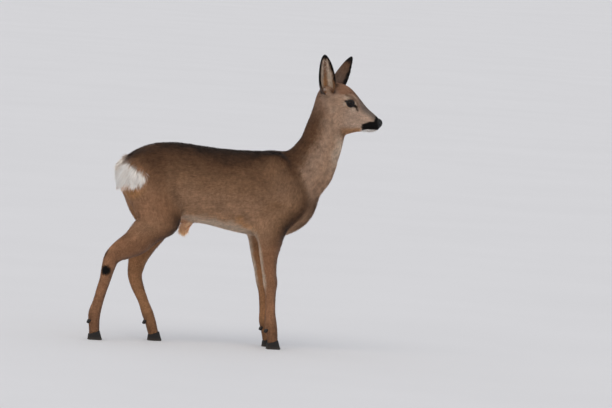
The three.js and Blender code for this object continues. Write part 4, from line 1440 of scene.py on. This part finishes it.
class Skin:
    """One skin over the whole animal, which replaces all the flesh nodes."""

    flesh_nodes = ("head", "neck", "trunk", "tail", "brush", *(
        f"{part}_{side}" for side, _ in SIDES
        for part in ("ear", "forearm", "cannon_fore", "pastern_fore", "thigh", "shank",
                     "cannon_hind", "pastern_hind")))
    shade = 0.88  # the underfur is darker than the hair

    def __init__(self, body: Body, markings: Markings) -> None:
        """Keeps the body and its markings."""
        self.body, self.markings = body, markings
        self.net = Net(np.array([-468.0, -112, 6]), np.array([470.0, 112, 890]), cell=5.2)

    def refine(self, points: Array, triangles: Array) -> tuple[Array, Array]:
        """Halves the faces of the head, twice round the eyes and on the muzzle.

        Args:
            points: the skin's points.
            triangles: its triangles.

        Returns:
            More points and triangles.
        """
        mesh = triangle_mesh("rough", points, triangles)
        work = bmesh.new()
        work.from_mesh(mesh)
        eye = np.array(self.body.socket.place)

        def halve(wanted: Callable[[Array], Array]) -> None:
            """Halves the edges of the faces that are wanted."""
            middles = np.array([face.calc_center_median() for face in work.faces]) / MM
            chosen = wanted(head_folded(middles))
            edges = {e for face, keep in zip(work.faces, chosen) if keep for e in face.edges}
            bmesh.ops.subdivide_edges(work, edges=list(edges), cuts=1, use_grid_fill=True)
            bmesh.ops.triangulate(work, faces=work.faces[:])

        halve(lambda p: (p[:, 0] > 5) & (p[:, 2] > -118))
        halve(lambda p: (np.linalg.norm(p - eye, axis=1) < 27) | (p[:, 0] > 104))
        work.to_mesh(mesh)
        work.free()
        fine = np.empty(3 * len(mesh.vertices), dtype=np.float32)
        mesh.vertices.foreach_get("co", fine)
        corners = np.empty(3 * len(mesh.polygons), dtype=np.int32)
        mesh.loops.foreach_get("vertex_index", corners)
        bpy.data.meshes.remove(mesh)
        return fine.reshape(-1, 3).astype(float) / MM, corners.reshape(-1, 3)

    def shape(self) -> tuple[Array, Array]:
        """Shapes the skin without its ears.

        Returns:
            Its points and triangles.
        """
        points, triangles = self.net.mesh(self.body.skin)
        points = self.body.settle(points, steps=2, probe=0.8, most=2.5)
        LOG.info("rough skin: %d triangles", len(triangles))
        points, triangles = self.refine(points, triangles)
        head = np.flatnonzero(about_head(head_local(points)))
        points[head] = self.body.settle(points[head], steps=4, probe=0.3, most=1.2)
        return points, triangles

    def survey(self, points: Array, triangles: Array) -> Pelt:
        """Works out what hair needs to know at each point of the skin.

        Args:
            points: the skin's points.
            triangles: its triangles.

        Returns:
            The skin with all of it.
        """
        body, socket = self.body, self.body.socket
        normals = point_normals(points, triangles)
        distances, along = body.measure(points)
        weights = body.weights(distances)
        flow, upper = body.lie(weights, along)
        colour = self.markings.paint(points, normals, upper, weights)
        folded = head_folded(points)
        ahead = folded[:, 0]
        gap, radius = socket.opening(folded)
        by_eye = (radius < 34) & (ahead > 20)
        side = np.sign(head_local(points)[:, 1:2])
        eye = head_place(socket.place * (1 - SIDEWAYS) + socket.place * SIDEWAYS * side)
        flow += 2.2 * unit(points - eye) * (ramp(gap, 12, 3) * by_eye)[:, None]
        hair = body.hair(points, weights, along)
        hair *= np.where(by_eye, 0.4 + 0.6 * ramp(gap, 3, 14), 1.0)
        hair *= 1 - 0.5 * ramp(body.mouth.away(folded), 8, 2) * (ahead > 100)
        hair[by_eye & (socket.bare(gap, radius) < 3.0)] = 0
        hair[(self.markings.nose_pad(points) > 0.5) | (body.coronet(points) > -0.5)] = 0
        owner = np.argmax(weights, axis=0)
        chart = np.zeros((len(points), 2))
        for i, chain in enumerate(body.chains):
            mine = owner == i
            if mine.any():
                turn = chain.angle(points[mine], along[i][mine])
                chart[mine] = np.stack([along[i][mine], (i + turn) / len(body.chains)], axis=1)
        return Pelt(points, triangles, normals, along_surface(flow, normals), colour, hair,
                    body.depth(points, weights, along), self.regions(points, owner), chart)

    def regions(self, points: Array, owner: Array) -> Array:
        """Names the coat piece that each point belongs to.

        Args:
            points: the skin's points.
            owner: the number of the chain that each is on.

        Returns:
            A name for each point.
        """
        names = np.array([chain.name for chain in self.body.chains])[owner]
        side = np.where(points[:, 1] > 0, "_left", "_right")
        flank = np.where(points[:, 0] > -60, "flank_front", "flank_back")
        names = np.where(names == "trunk", np.char.add(flank, side), names)
        for part in ("neck", "head"):
            names = np.where(names == part, np.char.add(part, side), names)
        return np.where(self.markings.rump_patch(points) > 0.5, "rump", names)

    def ear_pelt(self, name: str, row: int) -> Pelt:
        """An ear's shell with what its hair needs to know.

        Args:
            name: the ear's side.
            row: its half of the unwrap.

        Returns:
            The ear's skin.
        """
        ear = EARS[name]
        points, triangles, along, inner, rim = ear.shell()
        normals = point_normals(points, triangles)
        base, reach = head_place(ear.base), head_place(ear.tip) - head_place(ear.base)
        looks = unit(np.asarray(ear.open_to) @ HEAD_AXES)
        middle = base + np.outer(along, reach)
        flow = unit(reach) + inner[:, None] * (0.5 * looks + 0.6 * unit(middle - points))
        edge = ramp(rim, 0.95, 0.6)
        hair = np.where(inner > 0, 4 + (5 + 14 * edge) * ramp(along, 0.97, 0.70), 6.0)
        depth = np.where(inner > 0, (1.2 + 3.6 * edge) * ramp(along, 0.95, 0.5) + 0.6, 1.0)
        turn = np.tile(np.arange(2 * ear.arc) / (2 * ear.arc), ear.rings + 1)
        chart = np.stack([along, (row + turn) / 2], axis=1)
        colour = self.markings.ear(along, inner, rim, points)
        return Pelt(points, triangles, normals, along_surface(flow, normals), colour, hair,
                    depth, np.full(len(points), f"ear_{name}"), chart)

    def build(self, underfur: Material, leather: Material,
              lid: Material) -> list[Pelt]:
        """Makes the skin's piece.

        Args:
            underfur: the finish under the coat.
            leather: the nose's finish.
            lid: the bare rims of the eyes.

        Returns:
            The pelts that the coat grows on.
        """
        points, triangles = self.shape()
        pelts = [self.survey(points, triangles)]
        pelts += [self.ear_pelt(name, row) for row, (name, _) in enumerate(SIDES)]
        starts = np.cumsum([0] + [len(p.points) for p in pelts])
        every = np.vstack([p.points for p in pelts])
        faces = np.vstack([p.triangles + s for p, s in zip(pelts, starts)])
        mesh = triangle_mesh("skin", every, faces)
        paint_points(mesh, np.vstack([p.colour for p in pelts]) * self.shade)
        for material in (underfur, leather, lid):
            mesh.materials.append(material)
        middles = every[faces].mean(axis=1)
        folded = head_folded(middles)
        socket = self.body.socket
        gap, radius = socket.opening(folded)
        kinds = np.where(self.markings.nose_pad(middles) > 0.5, 1, 0)
        lids = (socket.bare(gap, radius) < 2.9) & (radius < socket.grip) & (folded[:, 0] > 20)
        kinds = np.where(lids, 2, kinds)
        mesh.polygons.foreach_set("material_index", kinds.astype(np.int32))
        add_piece("skin", mesh, "body_fur", *self.flesh_nodes)
        return pelts


# --------------------------------------------------------------------- coat
@dataclass(frozen=True)
class CoatPiece:
    """How the hair of one stretch of the coat is cut."""

    slot: str
    cover: float = 10.0  # layers of hair over each place
    stray: float = 0.16  # how far single tufts turn aside
    shortest: float = 0.75  # share of the hair's length
    free: bool = False  # whether it stands clear of the body's own surface


class Roots(NamedTuple):
    """What each tuft takes from the skin at its root."""

    place: Array
    normal: Array
    flow: Array
    colour: Array
    hair: Array
    depth: Array
    chart: Array


class OuterSurface:
    step = 8.0
    bend = (-12, 14)  # how far a tuft's end may be moved out and in

    def __init__(self, body: Body, net: Net) -> None:
        """Samples the flesh's field in and round the net."""
        self.low = net.low - 3 * self.step
        count = np.ceil((net.high - net.low) / self.step + 6).astype(int) + 1
        places = self.low + grid_nodes(count).reshape(-1, 3) * self.step
        values = [body.flesh(body.measure(part)[0]) for part in np.array_split(places, 6)]
        self.field = np.concatenate(values).reshape(tuple(count))
        self.slopes = np.stack(np.gradient(self.field, self.step), axis=-1)

    def read(self, grid: Array, points: Array) -> Array:
        """Values of one of the grids at points."""
        scaled = (points - self.low) / self.step
        cell = np.clip(np.floor(scaled).astype(int), 0, np.array(self.field.shape) - 2)
        return between_nodes(grid, cell, np.clip(scaled - cell, 0, 1))

    def hug(self, ends: Array, depth: Array) -> Array:
        """Moves the ends of hair towards a depth under the surface."""
        excess = np.clip(self.read(self.field, ends) + depth, *self.bend)
        return ends - unit(self.read(self.slopes, ends)) * excess[:, None]


class Coat:
    """Solid tufts over the skin, following the lie of the hair."""

    cuts = {
        "flank": CoatPiece("body_fur", 15), "shoulder": CoatPiece("body_fur", 14),
        "haunch": CoatPiece("body_fur", 14), "neck": CoatPiece("neck_fur", 16, 0.2),
        "head": CoatPiece("face_fur", 8, 0.12), "foreleg": CoatPiece("leg_fur", 8),
        "hindleg": CoatPiece("leg_fur", 8), "rump": CoatPiece("rump_fur", 22, 0.17, free=True),
        "brush": CoatPiece("rust_fur", 170, 0.2, 0.35, free=True),
        "ear": CoatPiece("ear_fur", 8, 0.2, free=True),
    }
    patch = 0.0015  # half of a tuft's patch on the unwrap
    most = 66000  # tufts in a piece
    middle, rise = 0.48, 0.68  # a tuft's middle, as shares of its length and of its rise
    waist = 0.8  # width there, as a share of the root's
    tip = 0.96  # as a share of the length
    sunk = 0.6  # mm that a root goes into the skin
    tones = np.array([0.88, 0.88, 1.0, 1.0, 1.10])[None, :, None]  # from root to tip
    tuft = np.array([[0, 1, 3], [0, 3, 2], [2, 3, 4]])  # triangles of one tuft
    spread = np.array([[-1, -1], [1, -1], [-0.8, 0], [0.8, 0], [0, 1]])  # the tuft unwrapped

    def __init__(self, body: Body, net: Net, finishes: dict[str, Material]) -> None:
        """Keeps the outer surface and the finishes, by slot."""
        self.outer, self.finishes = OuterSurface(body, net), finishes
        self.rng = np.random.default_rng(SEED)
        self.clumps = [Mottle(10 + k) for k in range(3)]

    @staticmethod
    def width(length: Array) -> Array:
        """Width of a tuft at its root, for its length."""
        return 0.62 + 0.031 * length

    def roots(self, pelt: Pelt, faces: Array, cut: CoatPiece) -> Roots:
        """Spreads roots evenly over faces.

        Args:
            pelt: the skin that they stand on.
            faces: the numbers of its triangles.
            cut: how closely they stand.

        Returns:
            The pelt's values at each root.
        """
        corners = pelt.triangles[faces]
        area = 0.5 * np.linalg.norm(face_normals(pelt.points, corners), axis=1)
        length = pelt.hair[corners].min(axis=1)
        one = np.maximum(length, 3) * self.width(length)
        want = np.where(length > 1, area * cut.cover / one, 0)
        count = int(min(want.sum(), self.most))
        steps = np.cumsum(want) / want.sum() * count
        chosen = np.searchsorted(steps, np.arange(count) + self.rng.random(count))
        corner = corners[np.minimum(chosen, len(faces) - 1)]
        u, v = np.sqrt(self.rng.random(count)), self.rng.random(count)
        share = np.stack([1 - u, u * (1 - v), u * v], axis=1)

        def mix(values: Array) -> Array:
            """Values at the roots, from those at their triangles' corners."""
            return np.einsum("ij,ij...->i...", share, values[corner])

        return Roots(mix(pelt.points), unit(mix(pelt.normals)), unit(mix(pelt.flow)),
                     mix(pelt.colour), mix(pelt.hair), mix(pelt.depth), pelt.chart[corner[:, 0]])

    def ribbons(self, root: Roots, cut: CoatPiece) -> tuple[Array, Array, Array]:
        """Shapes the tufts.

        Args:
            root: the pelt's values at each root.
            cut: how the hair is cut.

        Returns:
            Points, shading normals and colours, five rows for each tuft.
        """
        place, normal, count = root.place, root.normal, len(root.place)
        swirl = np.stack([clump.at(place, 15) - 0.5 for clump in self.clumps], axis=1)
        aside = self.rng.normal(0, cut.stray, (count, 3)) + 0.7 * swirl
        flow = along_surface(root.flow + aside, normal)
        length = root.hair * self.rng.uniform(cut.shortest, 1.15, count)
        rise = root.depth * self.rng.uniform(0.55, 1.08, count)
        side = unit(np.cross(normal, flow) + self.rng.normal(0, 0.25, (count, 3)))
        side *= (self.width(length) * 0.5 * self.rng.uniform(0.7, 1.2, count))[:, None]
        ends = []
        for far, high in ((self.middle, self.rise), (self.tip, 1)):
            end = place + flow * (length * far)[:, None] + normal * (rise * high)[:, None]
            ends.append(end if cut.free else self.outer.hug(end, root.depth - rise * high))
        low, (middle, tip) = place - normal * self.sunk, ends
        ring = np.stack([low - side, low + side, middle - side * self.waist,
                         middle + side * self.waist, tip], axis=1)
        face = unit(np.cross(side, tip - place))
        face *= np.sign(np.einsum("ij,ij->i", face, normal))[:, None]
        along = np.column_stack([root.chart * (900, 9000), place[:, 2] * 0.05])
        streak = self.clumps[0].at(along, (34, 6, 30)) - 0.5
        tone = (self.rng.normal(1.0, 0.09, count) + 0.36 * streak)[:, None, None]
        colours = root.colour[:, None, :] * tone * self.tones
        shading = np.repeat(unit(0.7 * normal + 0.3 * face), 5, axis=0)
        return ring.reshape(-1, 3), shading, colours.reshape(-1, 3)

    def grow(self, name: str, pelt: Pelt, faces: Array) -> None:
        """Makes one piece of the coat.

        Args:
            name: the stretch of coat.
            pelt: the skin it grows on.
            faces: the numbers of the skin's triangles.
        """
        cut = self.cuts[name.split("_")[0]]
        root = self.roots(pelt, faces, cut)
        points, normals, colours = self.ribbons(root, cut)
        base = 5 * np.arange(len(root.place))[:, None, None]
        triangles = (base + self.tuft).reshape(-1, 3)
        looks = face_normals(points, triangles)
        inward = np.einsum("ij,ij->i", looks, normals[triangles[:, 0]]) < 0
        triangles[inward] = triangles[inward][:, ::-1]
        mesh = triangle_mesh(f"coat_{name}", points, triangles)
        paint_points(mesh, colours)
        middles = root.chart[:, None, :] * 0.99 + 0.005
        places = (middles + self.spread * self.patch).reshape(-1, 2)
        unwrap = mesh.uv_layers.new(name="OFBake")
        unwrap.uv.foreach_set("vector", places[triangles.ravel()].ravel())
        mesh.normals_split_custom_set_from_vertices(normals)
        mesh.materials.append(self.finishes[cut.slot])
        add_piece(f"coat_{name}", mesh, cut.slot)

    def build(self, pelts: list[Pelt]) -> None:
        """Grows every stretch of the coat.

        Args:
            pelts: the skins that it grows on.
        """
        for pelt in pelts:
            owner = pelt.region[pelt.triangles[:, 0]]
            for name in np.unique(owner):
                self.grow(str(name), pelt, np.flatnonzero(owner == name))


# --------------------------------------------------------------------- eyes
class Eyes:
    """Wet eyeballs with a slight cornea, in the sockets."""

    rings, around = 28, 40
    cornea = 0.7  # mm that it stands proud
    inset = 0.35  # mm that the ball is smaller than its room

    def __init__(self, socket: EyeSocket, glass: Material) -> None:
        """Keeps the socket and the finish."""
        self.socket, self.glass = socket, glass

    def build(self, name: str, side: int) -> None:
        """Makes one eye in place of its plain ball.

        Args:
            name: left or right.
            side: 1 on the left, -1 on the right.
        """
        flip = np.array([1, side, 1])
        across, up, out = (axis * flip for axis in self.socket.axes())
        work = bmesh.new()
        bmesh.ops.create_uvsphere(work, u_segments=self.around, v_segments=self.rings, radius=1)
        gaze = np.array([v.co[:] for v in work.verts])
        swell = self.cornea * ramp(gaze[:, 2], 0.70, 0.95)
        radius = (self.socket.ball - self.inset + swell)[:, None]
        local = np.array(self.socket.place) * flip + radius * (gaze @ np.array([across, up, out]))
        for vert, place in zip(work.verts, head_place(local) * MM):
            vert.co = place
        bmesh.ops.recalc_face_normals(work, faces=work.faces[:])
        mesh = bpy.data.meshes.new(f"eyeball_{name}")
        work.to_mesh(mesh)
        work.free()
        smooth(mesh)
        keep_rows(mesh, "gaze", gaze)
        mesh.materials.append(self.glass)
        add_piece(f"eyeball_{name}", mesh, "eye", f"eye_{name}")


# -------------------------------------------------------------------- hooves
@dataclass
class Claws:
    """The cloven hooves and dewclaws, as smooth horn in place of the faceted ones."""

    length: float = 46
    width: float = 16
    height: float = 25
    spread: float = 9.5  # from a foot's middle to a claw's
    draw: float = 0.06  # how much the edge of the sole is drawn in
    lean: float = 2.5  # of the toes towards each other
    around: int = 40
    levels: int = 18
    dew_spread: float = 8.5
    dew_behind: float = 17.5
    dew_height: float = 58
    dew_length: float = 16
    dew_radius: float = 4.8
    dew_lean: float = 0.5

    def build(self, horn: Material) -> None:
        """Makes all sixteen pieces.

        Args:
            horn: their finish.
        """
        for name, foot in FEET.items():
            for which, out in (("inner", -1), ("outer", 1)):
                y = foot.side * (FOOT_OUT + out * self.spread)
                rings = self.claw(foot.sole, y, foot.side * out)
                self.piece(f"claw_{name}_{which}", f"hoof_{name}_{which}", rings, horn)
                y = foot.side * (FOOT_OUT + out * self.dew_spread)
                rings = self.dewclaw((foot.fetlock - self.dew_behind, y, self.dew_height))
                self.piece(f"spur_{name}_{which}", f"dewclaw_{name}_{which}", rings, horn)

    def claw(self, x: float, y: float, side: int) -> Array:
        """Shapes one claw, from the rounded sole edge up to under the coronet's hair.

        Args:
            x: the sole's middle.
            y: the claw's middle.
            side: the way its outer wall faces.

        Returns:
            Rings of points, from the floor up.
        """
        turn = np.linspace(0, 2 * math.pi, self.around, endpoint=False)
        forward = 0.5 - 0.5 * np.cos(turn)
        taper = np.maximum(1 - forward ** 2 * 0.75, 0.05) ** 0.6
        top = CORONET.height(self.length * (forward - 0.5)) - 0.3
        rings = []
        for level in np.linspace(0, 1, self.levels + 1):
            z = top * level
            t = np.clip(z / (self.height + 12), 0, 1)
            draw = 1 - self.draw * (1 - min(level / 0.12, 1)) ** 2
            long = self.length * (1 - 0.38 * t) * draw
            wide = self.width * (1 - 0.06 * t) * draw
            back = x - self.length * 0.5 * (2 - draw) + t * 3
            lean = side * self.lean * forward * (1 - t)
            hollow = 0.6 * np.sin(math.pi * np.clip(t * 1.6, 0, 1)) * forward
            wall = np.sin(turn) * 0.5 * wide * (0.55 + 0.45 * taper)
            rings.append(np.stack([back + long * forward - hollow, y - lean - wall, z], axis=1))
        return np.array(rings)

    def dewclaw(self, place: tuple[float, float, float]) -> Array:
        """Shapes a small blunt horn that leans back and down.

        Args:
            place: its middle.

        Returns:
            Rings of points, from the top down.
        """
        turn = np.linspace(0, 2 * math.pi, self.around // 2, endpoint=False)
        along = np.array([math.sin(self.dew_lean), 0, math.cos(self.dew_lean)])
        across = np.array([math.cos(self.dew_lean), 0, -math.sin(self.dew_lean)])
        rings = []
        for t in np.linspace(0, 1, 10):
            blunt = math.sqrt(max(1 - (2 * t - 1) ** 4, 0.004))
            circle = np.outer(np.cos(turn), across) + np.outer(np.sin(turn), SIDEWAYS)
            centre = np.array(place) + self.dew_length * (0.5 - t) * along
            rings.append(centre + self.dew_radius * blunt * (1 - 0.35 * t) * circle)
        return np.array(rings)

    @staticmethod
    def piece(name: str, node: str, rings: Array, horn: Material) -> None:
        """Lofts rings into a closed piece that replaces a node.

        Args:
            name: the piece.
            node: the node that it replaces.
            rings: rows of points.
            horn: its finish.
        """
        levels, around = rings.shape[:2]
        points = np.vstack([rings.reshape(-1, 3), rings[0].mean(axis=0), rings[-1].mean(axis=0)])
        r, i = np.meshgrid(np.arange(levels - 1), np.arange(around), indexing="ij")
        a, b = (r * around + i).ravel(), (r * around + (i + 1) % around).ravel()
        k = np.arange(around)
        after = (k + 1) % around
        top = (levels - 1) * around
        faces = np.vstack([
            np.stack([a, b, b + around], 1), np.stack([a, b + around, a + around], 1),
            np.stack([after, k, np.full(around, levels * around)], 1),
            np.stack([top + k, top + after, np.full(around, levels * around + 1)], 1)])
        mesh = triangle_mesh(name, points, faces)
        work = bmesh.new()
        work.from_mesh(mesh)
        bmesh.ops.recalc_face_normals(work, faces=work.faces[:])
        work.to_mesh(mesh)
        work.free()
        mesh.materials.append(horn)
        add_piece(name, mesh, "horn", node)


# ------------------------------------------------------------------ bristles
class Bristles:
    """Lashes and whiskers: fine bent cones set on points by Geometry Nodes."""

    def tree(self) -> NodeTree:
        """Builds the node tree.

        Returns:
            The tree, with its sizes as named inputs.
        """
        tree = bpy.data.node_groups.new("bristles", "GeometryNodeTree")
        face = tree.interface
        face.new_socket("Roots", in_out="INPUT", socket_type="NodeSocketGeometry")
        for name, kind in (("Thickness", "Float"), ("Bend", "Float"), ("Seed", "Int"),
                           ("Finish", "Material")):
            face.new_socket(name, in_out="INPUT", socket_type=f"NodeSocket{kind}")
        face.new_socket("Bristles", in_out="OUTPUT", socket_type="NodeSocketGeometry")
        given = add_node(tree, "NodeGroupInput").outputs
        cone = add_node(tree, "GeometryNodeMeshCone", {
            "Vertices": 5, "Side Segments": 5, "Radius Top": 0.04 * MM,
            "Radius Bottom": given["Thickness"], "Depth": 1.0})
        place = add_node(tree, "GeometryNodeInputPosition")
        high = add_node(tree, "ShaderNodeSeparateXYZ", {0: place}).outputs["Z"]
        square = add_node(tree, "ShaderNodeMath", {0: high, 1: high}, operation="MULTIPLY")
        bow = add_node(tree, "ShaderNodeMath", {0: square, 1: given["Bend"]}, operation="MULTIPLY")
        offset = add_node(tree, "ShaderNodeCombineXYZ", {"X": bow})
        bent = add_node(tree, "GeometryNodeSetPosition", {"Geometry": cone, "Offset": offset})
        aim = add_node(tree, "GeometryNodeInputNamedAttribute", {"Name": "aim"},
                       data_type="FLOAT_VECTOR")
        reach = add_node(tree, "GeometryNodeInputNamedAttribute", {"Name": "reach"},
                         data_type="FLOAT")
        turned = add_node(tree, "FunctionNodeAlignRotationToVector", {"Vector": aim}, axis="Z")
        chance = add_node(tree, "FunctionNodeRandomValue", {2: 0.7, 3: 1.1, "Seed": given["Seed"]},
                          data_type="FLOAT")
        long = add_node(tree, "ShaderNodeMath", {0: reach, 1: chance.outputs[1]},
                        operation="MULTIPLY")
        size = add_node(tree, "ShaderNodeCombineXYZ", {"X": 1.0, "Y": 1.0, "Z": long})
        placed = add_node(tree, "GeometryNodeInstanceOnPoints", {
            "Points": given["Roots"], "Instance": bent, "Rotation": turned, "Scale": size})
        real = add_node(tree, "GeometryNodeRealizeInstances", {0: placed})
        dressed = add_node(tree, "GeometryNodeSetMaterial", {0: real, "Material": given["Finish"]})
        add_node(tree, "NodeGroupOutput", {0: dressed})
        return tree

    def build(self, name: str, roots: Array, aims: Array, reach: Array, thickness: float,
              bend: float, finish: Material) -> None:
        """Makes one piece of bristles.

        Args:
            name: the piece's name.
            roots: where they grow, in millimetres.
            aims: which way each points.
            reach: how long each is.
            thickness: radius at the root.
            bend: how far a tip is bowed aside.
            finish: their material.
        """
        seeds = bpy.data.meshes.new(f"{name}_roots")
        seeds.from_pydata([tuple(p) for p in roots * MM], [], [])
        keep_rows(seeds, "aim", aims)
        keep_rows(seeds, "reach", reach * MM)
        holder = new_object(f"{name}_roots", seeds)
        modifier = holder.modifiers.new("bristles", "NODES")
        modifier.node_group = self.tree()
        given = {"Thickness": thickness * MM, "Bend": bend * MM, "Seed": SEED, "Finish": finish}
        for item in modifier.node_group.interface.items_tree:
            if item.in_out == "INPUT" and item.name in given:
                modifier[item.identifier] = given[item.name]
        evaluated = holder.evaluated_get(bpy.context.evaluated_depsgraph_get())
        mesh = bpy.data.meshes.new_from_object(evaluated)
        smooth(mesh)
        bpy.data.objects.remove(holder)
        add_piece(name, mesh, "horn")

    def lashes(self, socket: EyeSocket, finish: Material) -> None:
        """Sets a row of lashes on each upper lid.

        Args:
            socket: the eye's place and opening.
            finish: the lashes' material.
        """
        rng = np.random.default_rng(SEED)
        for name, side in SIDES:
            flip = np.array([1, side, 1])
            across, up, out = (axis * flip for axis in socket.axes())
            t = np.linspace(-0.9, 0.9, 34)
            x, y = t * socket.half_length, socket.lid_height(t) + 0.05
            z = np.sqrt(np.maximum(1 - x ** 2 - y ** 2, 0.05))
            rim = unit(np.outer(x, across) + np.outer(y, up) + np.outer(z, out))
            reach = socket.ball + socket.lid - 0.3
            roots = head_place(np.array(socket.place) * flip + rim * reach)
            stray = rng.normal(0, 0.08, rim.shape)
            aims = unit((rim + 0.55 * up - 0.35 * across + stray) @ HEAD_AXES)
            self.build(f"lashes_{name}", roots, aims, np.full(len(t), 8.0), 0.22, 1.2, finish)

    def whiskers(self, body: Body, finish: Material) -> None:
        """Scatters whiskers on the muzzle and chin.

        Args:
            body: what they grow on.
            finish: their material.
        """
        rng = np.random.default_rng(SEED + 1)
        count = 46
        ahead = rng.uniform(112, 150, count)
        sideways = rng.choice([-1, 1], count) * rng.uniform(12, 19, count)
        local = np.stack([ahead, sideways, rng.uniform(-86, -60, count)], axis=1)
        roots = body.settle(head_place(local), steps=5, probe=0.4, most=3.0)
        out = unit(body.slope(roots, body.skin(roots), 0.4))
        aims = unit(out + np.array([-0.5, 0, -0.35]) + rng.normal(0, 0.15, out.shape))
        self.build("whiskers", roots, aims, rng.uniform(9, 17, count), 0.16, 2.5, finish)


# -------------------------------------------------------------------- studio
@dataclass(frozen=True)
class Studio:
    """A pale floor, plain soft light and a long lens from a little above."""

    yaw: float = math.radians(12)
    pitch: float = math.radians(3)
    roll: float = math.radians(4)
    aim_right: float = 194.9  # mm from the origin, across the view
    aim_up: float = 469.1
    shift_x: float = 37.0
    view_width: float = 1958.4  # mm across the picture at the animal
    lens: float = 400.0
    sensor: float = 36.0
    reach: float = 400.0  # m from the middle of the floor to its edge
    sky: str = "#f4f6fb"
    lamp: str = "#fff1de"

    def camera(self) -> None:
        """Sets up the camera."""
        right = np.array([math.cos(self.yaw), -math.sin(self.yaw), 0])
        look = np.array([math.sin(self.yaw) * math.cos(self.pitch),
                         math.cos(self.yaw) * math.cos(self.pitch), -math.sin(self.pitch)])
        up = np.cross(right, look)
        aim = self.aim_right * right + self.aim_up * up + np.array([self.shift_x, 0, 0])
        place = (aim - look * self.view_width * self.lens / self.sensor) * MM
        x_axis = right * math.cos(self.roll) + up * math.sin(self.roll)
        y_axis = up * math.cos(self.roll) - right * math.sin(self.roll)
        data = bpy.data.cameras.new("camera")
        data.lens, data.sensor_width, data.clip_end = self.lens, self.sensor, 1000
        camera = new_object("camera", data)
        turn = Matrix([Vector(x_axis), Vector(y_axis), Vector(-look)]).transposed()
        camera.matrix_world = Matrix.Translation(Vector(place)) @ turn.to_4x4()
        bpy.context.scene.camera = camera

    def floor(self) -> None:
        """Lays the floor, wide enough to fill any view."""
        mesh = bpy.data.meshes.new("floor")
        far = self.reach
        mesh.from_pydata([(-far, -far, 0), (far, -far, 0), (far, far, 0), (-far, far, 0)],
                         [], [(0, 1, 2, 3)])
        mesh.materials.append(PaleFloor().build())
        new_object("floor", mesh)

    def light(self) -> None:
        """A bright overcast sky and one broad soft light."""
        world = bpy.data.worlds.new("overcast")
        world.use_nodes = True
        back = world.node_tree.nodes["Background"]
        back.inputs["Color"].default_value = (*linear(self.sky), 1)
        back.inputs["Strength"].default_value = 0.78
        bpy.context.scene.world = world
        data = bpy.data.lights.new("soft_light", "SUN")
        data.energy, data.angle, data.color = 0.85, math.radians(50), linear(self.lamp)
        lamp = new_object("soft_light", data)
        lamp.rotation_euler = (math.radians(38), math.radians(-12), math.radians(-15))
        bpy.context.scene.view_settings.view_transform = "Standard"

    def build(self) -> None:
        """Sets the whole stage."""
        self.camera()
        self.floor()
        self.light()


def main() -> None:
    """Builds the animal in order."""
    logging.basicConfig(level=logging.INFO, format="%(name)s %(message)s")
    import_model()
    Studio().build()
    body = Body()
    markings = Markings(body)
    skin = Skin(body, markings)
    finishes = {name: Hair(f"winter_{name}", **settings).build() for name, settings in {
        "body_fur": {}, "neck_fur": {"banding": 11.0, "contrast": 0.26},
        "face_fur": {"banding": 4.0}, "ear_fur": {"banding": 5.0},
        "leg_fur": {"banding": 5.0, "sheen": 0.12},
        "rust_fur": {"banding": 6.0, "contrast": 0.06, "sheen": 0.3},
        "rump_fur": {"banding": 7.0, "contrast": 0.08, "sheen": 0.3},
    }.items()}
    lid = LidSkin().build()
    underfur = Hair("dense_underfur", roughness=0.85, sheen=0.1, banding=2.5, bump=1.0).build()
    pelts = skin.build(underfur, NoseLeather().build(), lid)
    Coat(body, skin.net, finishes).build(pelts)
    eyes = Eyes(body.socket, EyeGlass().build())
    for name, side in SIDES:
        eyes.build(name, side)
    Claws().build(HoofHorn().build())
    bristles = Bristles()
    bristles.lashes(body.socket, lid)
    bristles.whiskers(body, lid)


if __name__ == "__main__":
    main()
